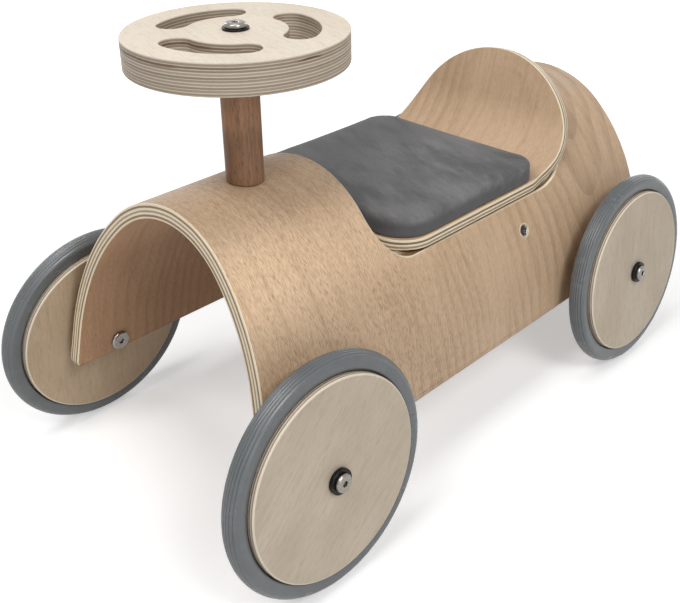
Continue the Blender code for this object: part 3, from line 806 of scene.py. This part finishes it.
def tyre_path():
    """Closed section of the tyre, (radius, place along the axle): narrow foot, round sides, grooved crown."""
    inside = DISC_RADIUS + TOUCH
    crown = inside + TYRE_HEIGHT - TREAD_RADIUS
    foot, side = TYRE_FOOT / 2, TYRE_WIDTH / 2
    turn = math.asin(TREAD_EDGE / TREAD_RADIUS)
    shoulder = (side - TREAD_EDGE) / (1 - math.sin(turn))
    widest = crown + (TREAD_RADIUS - shoulder) * math.cos(turn)
    turns = arc((0, 0), 1, RIGHT_ANGLE, 0, 9)
    half = [(widest - (widest - inside) * y, foot + (side - foot) * x) for x, y in turns]
    half += arc((widest, side - shoulder), shoulder, RIGHT_ANGLE, turn, 7)[1:]
    path = [(r, -u) for r, u in half]
    lip, floor_half = GROOVE_WIDTH / 2, GROOVE_WIDTH / 8

    def surface(u):
        return crown + math.sqrt(TREAD_RADIUS**2 - u**2)

    for k, u in enumerate(TREAD_GROOVES):
        if k:
            rib = (u + TREAD_GROOVES[k - 1]) / 2
            path.append((surface(rib), rib))
        bottom = surface(u) - GROOVE_DEPTH
        path += [(surface(u - lip), u - lip), (bottom, u - floor_half)]
        path += [(bottom, u + floor_half), (surface(u + lip), u + lip)]
    return path + half[::-1]


def steering_wheel():
    """Thick plywood with three hand slots, eased along every edge, standing on height 0."""
    half = SLOT_WIDTH / 2
    outlines = [round_line(RIM_RADIUS, 180), round_line(BUTTON_SHANK + HOLE_FIT, 32)[::-1]]
    for middle in SLOT_TURNS:
        first, last = middle - SLOT_SPAN / 2, middle + SLOT_SPAN / 2
        start, end = arc((0, 0), SLOT_RADIUS, first, last, 1)
        slot = arc((0, 0), SLOT_RADIUS + half, first, last, 32)[:-1]
        slot += arc(end, half, last, last + math.pi, 20)[:-1]
        slot += arc((0, 0), SLOT_RADIUS - half, last, first, 20)[:-1]
        slot += arc(start, half, first + math.pi, first + 2 * math.pi, 20)[:-1]
        outlines.append(slot[::-1])
    curve = bpy.data.curves.new("steering_outline", "CURVE")
    curve.dimensions = "2D"
    curve.fill_mode = "BOTH"
    curve.extrude = RIM_THICK / 2 - RIM_ROUND
    curve.bevel_depth = RIM_ROUND
    curve.bevel_resolution = 3
    curve.offset = -RIM_ROUND
    for points in outlines:
        spline = curve.splines.new("POLY")
        spline.points.add(len(points) - 1)
        for point, (x, y) in zip(spline.points, points):
            point.co = (x, y, 0, 1)
        spline.use_cyclic_u = True
    outline = place("steering_outline", curve)
    bm = bmesh.new()
    bm.from_mesh(final_mesh(outline))
    bpy.data.objects.remove(outline, do_unlink=True)
    bmesh.ops.remove_doubles(bm, verts=bm.verts, dist=1e-6)
    bmesh.ops.translate(bm, verts=bm.verts, vec=(0, 0, RIM_THICK / 2))
    return smooth(from_bmesh("steering_wheel_wood", bm))


def steering_column():
    """A dowel coped to the ridge of the hood."""
    top = RIM_Z - RUN
    centre, ridge = ARCS[0][:2]

    def saddle(radius, rise):
        points = circle(radius, centre.y + TOUCH + rise, COLUMN_SIDES)
        return [(x, y, z + math.sqrt(ridge**2 - y**2)) for x, y, z in points]

    rings = [
        saddle(0.4 * COLUMN_RADIUS, 0),
        saddle(COLUMN_RADIUS - COLUMN_EASE, 0),
        saddle(COLUMN_RADIUS, COLUMN_EASE),
        saddle(COLUMN_RADIUS, 3 * COLUMN_EASE),
        circle(COLUMN_RADIUS, top - 3 * COLUMN_EASE, COLUMN_SIDES),
        circle(COLUMN_RADIUS, top - COLUMN_EASE, COLUMN_SIDES),
        circle(COLUMN_RADIUS - COLUMN_EASE, top, COLUMN_SIDES),
    ]
    return smooth(loft("steering_column_wood", rings))


# Materials


class Wire:
    """A node's output, which takes plain arithmetic and leads on to further nodes."""

    def __init__(self, shader, output):
        self.shader = shader
        self.output = output

    def __add__(self, other):
        return self.shader.math("ADD", self, other)

    def __sub__(self, other):
        return self.shader.math("SUBTRACT", self, other)

    def __mul__(self, other):
        return self.shader.math("MULTIPLY", self, other)

    def __gt__(self, other):
        return self.shader.math("GREATER_THAN", self, other)

    def __lt__(self, other):
        return self.shader.math("LESS_THAN", self, other)

    def __abs__(self):
        return self.shader.math("ABSOLUTE", self)

    def split(self):
        return [Wire(self.shader, part) for part in self.shader.node("SeparateXYZ", {"Vector": self}).outputs]

    def turned(self, angle):
        inputs = {"Vector": self, "Angle": angle}
        return self.shader.wire("VectorRotate", 0, inputs, rotation_type="Z_AXIS")

    def noise(self, scale, detail=2.0, roughness=0.5):
        stretched = self.shader.vector("MULTIPLY", 0, self, scale)
        inputs = {"Vector": stretched, "Scale": 1.0, "Detail": detail, "Roughness": roughness}
        return self.shader.wire("TexNoise", "Fac", inputs)

    def dashes(self, scale, size):
        """A short dash in each cell of a stretched, jittered grid, from 0 to 1, of its own strength."""
        inputs = {"Vector": self.shader.vector("MULTIPLY", 0, self, (*scale, 1.0)), "Scale": 1.0}
        cells = self.shader.node("TexVoronoi", inputs, voronoi_dimensions="2D").outputs
        strength = Wire(self.shader, cells["Color"]).split()[0].span(0.15, 0.85)
        return Wire(self.shader, cells["Distance"]).span(size, 0.4 * size) * strength

    def span(self, low, high, start=0.0, end=1.0):
        """Runs softly from start to end while the value runs from low to high."""
        inputs = {"Value": self, "From Min": low, "From Max": high, "To Min": start, "To Max": end}
        return self.shader.wire("MapRange", 0, inputs, interpolation_type="SMOOTHSTEP")

    def band(self, low, high, fade):
        """1 between two values and 0 outside them."""
        return self.span(low - fade, low + fade) * self.span(high + fade, high - fade)

    def mix(self, a, b):
        """The first colour where the value is 0, and the second where it is 1."""
        return self.shader.mix(self, a, b)

    def bump(self, distance):
        return self.shader.wire("Bump", "Normal", {"Height": self, "Distance": distance, "Strength": 1.0})


class Shader:
    """The node tree of a material or of the world, built with short calls that return wires."""

    def __init__(self, data, surface="Principled BSDF"):
        data.use_nodes = True
        self.data = data
        self.tree = data.node_tree
        self.surface = self.tree.nodes[surface]

    def plug(self, into, value):
        if isinstance(value, Wire):
            self.tree.links.new(value.output, into)
        elif into.type == "RGBA" and len(value) == 3:
            into.default_value = (*value, 1.0)
        else:
            into.default_value = value

    def node(self, kind, inputs=(), **settings):
        made = self.tree.nodes.new("ShaderNode" + kind)
        for key, value in settings.items():
            setattr(made, key, value)
        for key, value in dict(inputs).items():
            self.plug(made.inputs[key], value)
        return made

    def wire(self, kind, output, inputs=(), **settings):
        return Wire(self, self.node(kind, inputs, **settings).outputs[output])

    def sheet(self):
        return self.wire("Attribute", "Vector", attribute_name="sheet")

    def local(self):
        return self.wire("TexCoord", "Object")

    def join(self, x, y, z):
        return self.wire("CombineXYZ", 0, {"X": x, "Y": y, "Z": z})

    def vector(self, operation, output, *values):
        return self.wire("VectorMath", output, dict(enumerate(values)), operation=operation)

    def math(self, operation, *values):
        return self.wire("Math", 0, dict(enumerate(values)), operation=operation)

    def mix(self, factor, a, b, blend="MIX"):
        return self.wire("Mix", 2, {0: factor, 6: a, 7: b}, data_type="RGBA", blend_type=blend)

    def times(self, colour, gain):
        """A colour times another colour, or times a single value."""
        by = self.join(gain, gain, gain) if isinstance(gain, Wire) else gain
        return self.mix(1.0, colour, by, "MULTIPLY")

    def done(self, **inputs):
        sockets = {into.name.lower(): into for into in self.surface.inputs}
        for key, value in inputs.items():
            self.plug(sockets[key.replace("_", " ")], value)
        return self.data


def material(name):
    return Shader(bpy.data.materials.new(name))


def shade(colour, gain):
    return tuple(min(1.0, gain * c) for c in colour)


def ply_edge(shader, depth, thick, plies, along, light, dark, cut):
    """Colour of a plywood edge: light and dark layers, each with its own tone. A high cut thins the dark."""
    wobble = along.noise((45, 45, 45), 2)
    layer = depth * (plies / thick) + wobble.span(0.3, 0.7, -0.06, 0.06)
    layer = shader.math("MINIMUM", shader.math("MAXIMUM", layer, 0.4), plies - 0.4)
    swing = shader.math("PINGPONG", layer + 1.5, 1.0)
    streak = along.noise((260, 260, 1500), 3, 0.6)
    swing = swing + streak.span(0.25, 0.75, -0.06, 0.06)
    number = shader.math("FLOOR", layer)
    own = shader.wire("TexWhiteNoise", "Value", {"W": number + 3.37}, noise_dimensions="1D")
    swing = swing + own.span(0.0, 1.0, -0.12, 0.12)
    dark_layer = swing.span(cut - 0.14, cut + 0.14) * (own * 0.35 + 0.65)
    colour = dark_layer.mix(light, dark)
    fleck = along.noise((500, 500, 1600), 2, 0.6).span(0.58, 0.76, 0.0, 0.30)
    return fleck.mix(colour, dark)


def beech_ply(name, thick, plies, colours, edges, cut, figure):
    """Beech veneer on both faces of a sheet, and its plies along the edges."""
    light, middle, deep, under = colours
    shader = material(name)
    sheet = shader.sheet()
    across, along, depth = sheet.split()
    flat = shader.join(across, along, 0.0)

    tone = flat.noise((13, 5, 1), 4, 0.6)
    face = tone.span(0.30, 0.70).mix(light, middle)
    streak = flat.noise((170, 6, 1), 3, 0.6)
    face = streak.span(0.46, 0.74, 0.0, 0.30).mix(face, deep)

    rise, amount, ripple, veneer, painted_shade = figure(shader, across, along, depth)
    wave = shader.math("FRACT", rise + flat.noise((8, 4, 1), 3, 0.5) * 3.5)
    patchy = flat.noise((10, 5, 1), 2).span(0.35, 0.62)
    face = (wave.span(0.30, 0.95) * (patchy * amount)).mix(face, deep)

    spread = flat.noise((22, 11, 1), 3).span(0.30, 0.70, 0.40, 0.80)
    ray = flat.dashes((1250, 150), 0.40) * (spread * ripple)
    face = ray.mix(face, deep)
    small = flat.dashes((2300, 290), 0.42) * (ripple * 0.36)
    face = small.mix(face, deep)
    gleam = flat.dashes((1050, 125), 0.44) * (ripple * 0.34)
    face = gleam.mix(face, shade(light, 1.25))
    fine = flat.noise((1300, 90, 1), 2, 0.6).span(0.48, 0.75, 0.0, 0.30)
    # veneer is the figure's gain, which is painted light: painted shade on the crown and a painted sheen on
    # the hood's shoulders, and, on the seat board, a painted highlight along its sides.
    face = shader.times(fine.mix(face, deep), veneer)
    # The inner faces are darkened by the under colour; on the body this is painted shade inside the hood.
    face = (depth > thick / 2).mix(face, shader.times(face, under))

    edge = ply_edge(shader, depth, thick, plies, sheet, *edges, cut)
    # Painted shade: the brown colour darkens the cut edge in the gap under the seat board.
    edge = shader.mix(painted_shade, edge, (0.20, 0.115, 0.062))
    on_face = abs(depth - thick / 2) > thick / 2 - 0.00004
    colour = on_face.mix(edge, face)
    roughness = tone.span(0.3, 0.7, 0.42, 0.54)
    normal = ((ray + small) * -1.0).bump(0.00016)
    return shader.done(base_color=colour, roughness=roughness, normal=normal, specular_ior_level=0.25)


def birch_ply(name, thick, plies, grain, faces, edges, cut, stains=()):
    """Birch veneer on the faces of a disc, and its plies round the rim and in the slots, from height 0 up.
    The grain's direction follows from the place of the disc.
    """
    shader = material(name)
    local = shader.local()
    x, y, z = local.split()
    own = shader.wire("ObjectInfo", "Location")
    start, slopes = grain
    angle = shader.vector("DOT_PRODUCT", "Value", own, slopes) + start
    u, v, _ = shader.vector("ADD", 0, local.turned(angle), own).split()
    flat = shader.join(u, v, 0.0)

    light, dark = faces
    tone = flat.noise((20, 9, 1), 3, 0.6)
    face = tone.span(0.30, 0.70).mix(light, dark)
    streaks = flat.noise((330, 26, 1), 3, 0.65).span(0.45, 0.75)
    face = (streaks * 0.45).mix(face, shade(dark, 0.78))
    fine = flat.noise((1300, 110, 1), 2, 0.6).span(0.48, 0.75)
    face = (fine * 0.45).mix(face, shade(dark, 0.62))
    # Painted shade with a warm painted reflection of the wood: the inner faces, towards the body, are darker
    # and warmer.
    face = (z < thick / 2).mix(face, shader.times(face, (0.93, 0.84, 0.74)))

    edge = ply_edge(shader, z, thick, plies, local, *edges, cut)
    for (start, end), (low, high), strength in stains:
        inside = shader.math("ARCTAN2", y, x).band(start, end, 0.06)
        level = shader.math("DIVIDE", z, thick) + local.noise((90, 90, 90), 2).span(0.3, 0.7, -0.012, 0.012)
        stain = inside * level.band(low, high, 0.012) * strength
        edge = stain.mix(edge, (0.105, 0.050, 0.024))
    on_face = abs(z - thick / 2) > thick / 2 - 0.00010
    colour = on_face.mix(edge, face)
    roughness = tone.span(0.3, 0.7, 0.5, 0.6)
    normal = (streaks + fine).bump(0.00003)
    return shader.done(base_color=colour, roughness=roughness, normal=normal, specular_ior_level=0.35)


def solid_beech(name, axis, light, dark, painted_sheen=None):
    """Solid beech with short dark rays along one axis, and perhaps a painted sheen, lighter between two
    heights there.
    """
    shader = material(name)
    local = shader.local()

    def grain(across, along, detail, roughness=0.5):
        scale = [across] * 3
        scale[axis] = along
        return local.noise(scale, detail, roughness)

    tone = grain(60, 8, 3, 0.6)
    colour = tone.span(0.3, 0.7).mix(light, dark)
    deep = shade(dark, 0.45)
    rays = grain(900, 150, 1.5).span(0.54, 0.68)
    colour = (rays * 0.5).mix(colour, deep)
    lines = grain(330, 9, 2).span(0.48, 0.7)
    colour = (lines * 0.35).mix(colour, deep)
    # Painted sheen: lighter in a band between two heights.
    if painted_sheen:
        low, high = painted_sheen
        fade = 0.016
        height = local.split()[axis] + tone.span(0.3, 0.7, -0.004, 0.004)
        pale = height.span(low, low + fade) * height.span(high, high - fade, 0.4)
        colour = shader.times(colour, pale * 0.55 + 1.0)
    roughness = tone.span(0.3, 0.7, 0.45, 0.6)
    normal = (rays * -1.0).bump(0.00005)
    return shader.done(base_color=colour, roughness=roughness, normal=normal, specular_ior_level=0.35)


def rubber():
    """Satin rubber, a little lighter where dust clings, and with painted shade, nearly black, where it meets
    the disc.
    """
    shader = material("grey_rubber")
    local = shader.local()
    cloud = local.noise((30, 30, 30), 3, 0.6)
    colour = cloud.span(0.3, 0.7).mix((0.116, 0.127, 0.133), (0.136, 0.147, 0.152))
    dust = local.noise((110, 110, 110), 3, 0.6).span(0.50, 0.72, 0.0, 0.12)
    colour = dust.mix(colour, (0.200, 0.213, 0.219))
    # Painted shade: nearly black in the crevice at the tyre's foot, where it meets the disc.
    x, y, _ = local.split()
    radius = shader.vector("LENGTH", "Value", shader.join(x, y, 0.0))
    foot = DISC_RADIUS + TOUCH
    colour = radius.span(foot + 0.0022, foot + 0.0004).mix(colour, (0.018, 0.018, 0.018))
    grain = local.noise((1500, 1500, 1500), 2)
    roughness = cloud.span(0.3, 0.7, 0.23, 0.28)
    return shader.done(base_color=colour, roughness=roughness, normal=grain.bump(0.00002))


def suede():
    """Suede with a short nap, wiped into cloudy smears, with painted shadow on its right half and at the
    front, and painted shade on the sides.
    """
    shader = material("grey_suede")
    local = shader.local()
    cloud = local.noise((17, 9, 17), 5, 0.62)
    smear = local.turned(math.radians(20)).noise((70, 17, 70), 4, 0.65)
    nap = local.noise((1700, 1700, 1700), 3, 0.6)
    colour = cloud.span(0.34, 0.66).mix((0.078, 0.078, 0.080), (0.200, 0.199, 0.200))
    colour = smear.span(0.46, 0.70, 0.0, 0.70).mix(colour, (0.250, 0.249, 0.249))
    colour = smear.span(0.46, 0.26, 0.0, 0.65).mix(colour, (0.064, 0.064, 0.067))
    x, y, z = local.split()
    # Painted shadow: darker over the right half and at the front, where the steering wheel and the hood shade
    # the pad.
    front = x.span(SEAT_FRONT_X - 0.06, SEAT_FRONT_X - 0.02) * y.span(0.06, 0.02)
    painted_shadow = shader.math("MAXIMUM", y.span(0.02, -0.06), front)
    colour = (painted_shadow * 0.55).mix(colour, (0.066, 0.066, 0.068))
    colour = nap.span(0.35, 0.65, 0.0, 0.40).mix(colour, (0.060, 0.060, 0.062))
    # Painted shade: the sides below the rounded upper edge are darker.
    top = SEAT_Z + TOUCH + PAD_THICK
    side = z.span(top - 0.0020, top - 0.0085, 0.0, 0.75)
    colour = side.mix(colour, (0.066, 0.065, 0.068))
    roughness = cloud.span(0.3, 0.7, 0.82, 0.95)
    return shader.done(base_color=colour, roughness=roughness, normal=nap.bump(0.00014), sheen_weight=0.12)


def nickel():
    """Nickel plate, dulled in places by handling."""
    shader = material("nickel")
    cloud = shader.local().noise((700, 700, 700), 3, 0.6)
    colour = cloud.span(0.3, 0.7).mix((0.305, 0.288, 0.262), (0.245, 0.230, 0.210))
    roughness = cloud.span(0.3, 0.7, 0.16, 0.28)
    return shader.done(base_color=colour, roughness=roughness, metallic=1.0)


def recess_nickel():
    """Nickel plate of the countersunk screws: a bright rim round a socket darkened by painted shade."""
    shader = material("recess_nickel")
    local = shader.local()
    # Painted shade: the socket below the head's top is darkened nearly to black, duller and less metallic.
    painted_shade = local.split()[2].span(-0.0001, -0.0007)
    cloud = local.noise((900, 900, 900), 3, 0.6)
    colour = cloud.span(0.3, 0.7).mix((0.42, 0.39, 0.35), (0.30, 0.27, 0.24))
    socket_shade = cloud.span(0.50, 0.62).mix((0.016, 0.013, 0.011), (0.10, 0.09, 0.08))
    metal = painted_shade.span(0.0, 1.0, 1.0, 0.4)
    roughness = painted_shade.span(0.0, 1.0, 0.26, 0.5)
    return shader.done(base_color=painted_shade.mix(colour, socket_shade), roughness=roughness, metallic=metal)


def black(name, roughness):
    """Black plastic with a slightly uneven gloss."""
    shader = material(name)
    cloud = shader.local().noise((500, 500, 500), 3, 0.6)
    colour = cloud.span(0.3, 0.7).mix((0.006, 0.006, 0.006), (0.014, 0.014, 0.015))
    rough = cloud.span(0.3, 0.7, roughness, roughness + 0.12)
    return shader.done(base_color=colour, roughness=rough, specular_ior_level=0.16)


def body_figure(shader, across, along, depth):
    """Nested growth lines about the tail, fainter on the hood, where the short dashes are bold. Painted shade
    darkens the crown, a painted sheen lightens the hood's shoulders, and painted shade darkens the cut under
    the seat board.
    """
    side = (across + 0.185) * 26.0
    rise = shader.math("SQRT", side * (side * 0.25) + 1.0) * 8.0 + along * 14.0
    inside = depth > SHELL_THICK / 2
    amount = across.span(0.12, 0.0, 0.13, 0.32) + inside * 0.14
    ripple = across.span(-0.06, 0.08, 0.50, 1.15) * (inside * -0.5 + 1.0)
    away = abs(along)
    # Painted light: painted shade darkens the crown, and a painted sheen lightens the hood's shoulders.
    shoulder = away.span(0.040, 0.075) * away.span(0.135, 0.090) * across.span(-0.02, 0.06)
    tone = away.span(0.030, 0.065, 0.87, 1.0) + shoulder * 0.25
    # Painted shade: the cut edge in the narrow gap under the seat board is darkened.
    cut = arch_at_height(SEAT_CUT_Z, 0)
    painted_shade = away.span(cut - 0.008, cut - 0.004) * depth.span(0.0008, 0.0020)
    length = across.span(BEND_X - 0.03, BEND_X) * across.span(COWL_X + 0.03, COWL_X)
    return rise, amount, ripple, tone, painted_shade * length


def seat_figure(shader, across, along, depth):
    """Wide curves about the middle of the backrest, on an even veneer, with a painted highlight along its
    sides.
    """
    side = (across - 0.012) * 24.0
    up = (along - 0.060) * 16.0
    edge = seat_half_width()
    # Painted highlight: the veneer is lightened in a strip along the board's sides.
    tone = abs(across).span(edge - 0.0032, edge - 0.0022, 1.0, 1.6)
    return side * side + up * up, along.span(0.0, 0.04, 0.12, 0.30), 0.45, tone, 0.0


# Pieces


def wear(obj, finish):
    obj.data.materials.clear()
    obj.data.materials.append(finish)


def stand_for(obj, finish, node, body="chassis"):
    """Gives a piece its material and its body, and hides the CAD node that it stands for."""
    wear(obj, finish)
    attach(obj, body)
    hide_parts(node)


def add(node, stuff, mesh, spot, finish, body="chassis"):
    """A new piece in place of a CAD node."""
    stand_for(place(f"{node}_{stuff}", mesh, spot), finish, node, body)


def dress(node, finish, ease=0.0):
    """A CAD node that stays, with a better material and eased edges."""
    wear(NODES[node], finish)
    if ease:
        eased(NODES[node], ease, 40)


def make_body():
    # The last colour darkens the inner face: painted shade inside the hood.
    colours = (0.63, 0.457, 0.305), (0.562, 0.395, 0.256), (0.29, 0.176, 0.097), (0.80, 0.685, 0.605)
    edges = (0.86, 0.74, 0.55), (0.22, 0.138, 0.080)
    wood = beech_ply("body_beech", SHELL_THICK, PLIES_SHELL, colours, edges, 0.52, body_figure)
    stand_for(body_shell(), wood, "body_shell")


def make_seat():
    colours = (0.625, 0.446, 0.297), (0.54, 0.375, 0.241), (0.30, 0.185, 0.105), (0.9, 0.85, 0.8)
    edges = (0.86, 0.74, 0.55), (0.135, 0.083, 0.047)
    wood = beech_ply("seat_beech", BOARD_THICK, PLIES_BOARD, colours, edges, 0.47, seat_figure)
    stand_for(seat_board(), wood, "seat_board")
    pad = seat_pad()
    stand_for(pad, suede(), "seat_pad")


def make_wheels(metal, plastic):
    faces = (0.60, 0.507, 0.396), (0.525, 0.437, 0.332)
    edges = (0.74, 0.655, 0.53), (0.25, 0.18, 0.12)
    grain = (0.0, (math.radians(125), math.radians(190), 0.0))
    wood = birch_ply("wheel_birch", DISC_THICK, PLIES_DISC, grain, faces, edges, 0.50)
    tyre_rubber, spacer_black = rubber(), black("black_spacer", 0.4)
    half = DISC_THICK / 2
    low = half + RUN
    high = low + AXLE_WASHER_THICK
    disc = ring_path(BARREL_RADIUS + HOLE_FIT, DISC_RADIUS, 0, DISC_THICK, DISC_ROUND)
    washer = ring_path(BUTTON_SHANK + HOLE_FIT, AXLE_WASHER_RADIUS, low, high, AXLE_WASHER_EASE)
    for corner in CORNERS:
        hub = wheel_place(corner)
        face, top = hub @ lifted(-half), hub @ lifted(high + TOUCH)
        wheel = "wheel_" + corner
        screw = domed_screw(AXLE_HEAD_RADIUS, AXLE_SCREW_LENGTH)
        add("wheel_disc_" + corner, "wood", lathe(disc, DISC_SIDES), face, wood, wheel)
        tyre = lathe(tyre_path(), TYRE_SIDES)
        add("tyre_" + corner, "rubber", tyre, hub, tyre_rubber, wheel)
        add("axle_washer_" + corner, "black", lathe(washer, WASHER_SIDES), hub, plastic)
        add("axle_screw_" + corner, "metal", screw, top, metal)
        add("axle_sleeve_" + corner, "metal", sleeve(), hub, metal)
        dress("axle_spacer_" + corner, spacer_black, SPACER_EASE)


def make_steering(metal, plastic):
    faces = (0.79, 0.70, 0.58), (0.73, 0.635, 0.515)
    edges = (0.60, 0.525, 0.425), (0.270, 0.205, 0.145)
    grain = (math.radians(15), (0.0, 0.0, 0.0))
    stains = [
        ((-0.90, 0.40), (0.785, 0.87), 0.62),
        ((0.40, 0.95), (0.80, 0.85), 0.45),
        ((1.40, 1.62), (0.81, 0.87), 0.95),
    ]
    wood = birch_ply("steering_birch", RIM_THICK, PLIES_RIM, grain, faces, edges, 0.26, stains)
    tones = (0.330, 0.186, 0.105), (0.246, 0.130, 0.072)
    # The last argument is the column's painted sheen, a lighter band below the steering wheel.
    dowel = solid_beech("column_beech", 2, *tones, (RIM_Z - 0.054, RIM_Z - 0.022))
    column_at = Matrix.Translation((STEERING_X, 0, 0))
    hub = column_at @ lifted(RIM_Z)
    low = RIM_THICK + RUN
    high = low + STEERING_WASHER_THICK
    washer = ring_path(BUTTON_SHANK + HOLE_FIT, STEERING_WASHER_RADIUS, low, high, STEERING_WASHER_EASE)
    screw = domed_screw(BUTTON_RADIUS, STEERING_SCREW_LENGTH)
    add("steering_wheel", "wood", steering_wheel(), hub, wood, "steering")
    add("steering_column", "wood", steering_column(), column_at, dowel)
    add("steering_washer", "black", lathe(washer, WASHER_SIDES), hub, plastic)
    add("steering_screw", "metal", screw, hub @ lifted(high + TOUCH), metal)


def make_screws(metal):
    recess = recess_nickel()
    for side, spot in flank_screw_places().items():
        add("flank_screw_" + side, "metal", flank_screw(), spot, recess)
    bar_wood = solid_beech("crossbar_beech", 1, (0.56, 0.40, 0.26), (0.46, 0.31, 0.19))
    for end in ("front", "rear"):
        dress(end + "_crossbar", bar_wood, BAR_EASE)
        for side in ("left", "right"):
            dress(f"seat_screw_{end}_{side}", metal)
    dress("column_bolt", metal, BOLT_EASE)
    dress("column_washer", metal, BOLT_EASE)


# Stage


def camera():
    """The photograph's viewpoint: turned about the object, raised, and rolled a little."""
    data = bpy.data.cameras.new("camera")
    data.sensor_width = 36
    data.lens = 50.0
    data.shift_x, data.shift_y = CAMERA_SHIFT
    turn = Euler((RIGHT_ANGLE - CAMERA_ELEVATION, 0, CAMERA_AZIMUTH)).to_matrix()
    turn = turn @ Matrix.Rotation(CAMERA_ROLL, 3, "Z")
    bpy.context.scene.camera = place("camera", data, Matrix.Translation(CAMERA_PLACE) @ turn.to_4x4())


def lamp(name, place_at, watts):
    """A soft square lamp that faces the object."""
    data = bpy.data.lights.new(name, "AREA")
    data.shape = "RECTANGLE"
    data.size = data.size_y = LAMP_SIZE
    data.energy = watts
    obj = place(name, data)
    obj.location = place_at
    obj.rotation_euler = (Vector(LAMP_TARGET) - Vector(place_at)).to_track_quat("-Z", "Y").to_euler()


def seen_directly(shader):
    """1 for the rays that show a thing or its mirror image, and 0 for those that light other things."""
    seen = 0.0
    for kind in ("Is Camera Ray", "Is Glossy Ray", "Is Transmission Ray"):
        seen = shader.math("MAXIMUM", shader.wire("LightPath", kind), seen)
    return seen


def floor():
    """A pale floor that is seen as white away from the object, and keeps the object's shadow."""
    square = [(x * FLOOR_SIZE, y * FLOOR_SIZE, 0) for x, y in ((-1, -1), (1, -1), (1, 1), (-1, 1))]
    obj = place("floor", solid("floor", square, [(0, 1, 2, 3)]))
    shader = material("floor")
    shader.done(base_color=(0.86, 0.86, 0.86), roughness=0.9, specular_ior_level=0.0)
    away = shader.vector("LENGTH", "Value", shader.local())
    strength = away.span(0.3, 1.6, FLOOR_GLOW, 1.0) * seen_directly(shader)
    glow = shader.wire("Emission", 0, {"Color": (1, 1, 1), "Strength": strength})
    both = shader.wire("AddShader", 0, {0: Wire(shader, shader.surface.outputs[0]), 1: glow})
    shader.plug(shader.tree.nodes["Material Output"].inputs["Surface"], both)
    wear(obj, shader.data)


def world():
    """White where it is seen, and a weak even light elsewhere."""
    shader = Shader(bpy.data.worlds.new("studio"), "Background")
    strength = seen_directly(shader).span(0.0, 1.0, AMBIENT, 1.0)
    bpy.context.scene.world = shader.done(color=(1, 1, 1), strength=strength)


nickel_plate, washer_plastic = nickel(), black("black_washer", 0.22)
make_body()
make_seat()
make_wheels(nickel_plate, washer_plastic)
make_screws(nickel_plate)
make_steering(nickel_plate, washer_plastic)
camera()
floor()
world()
for lamp_name, lamp_place, lamp_watts in LAMPS:
    lamp(lamp_name, lamp_place, lamp_watts)
bpy.context.scene.view_settings.view_transform = "Standard"
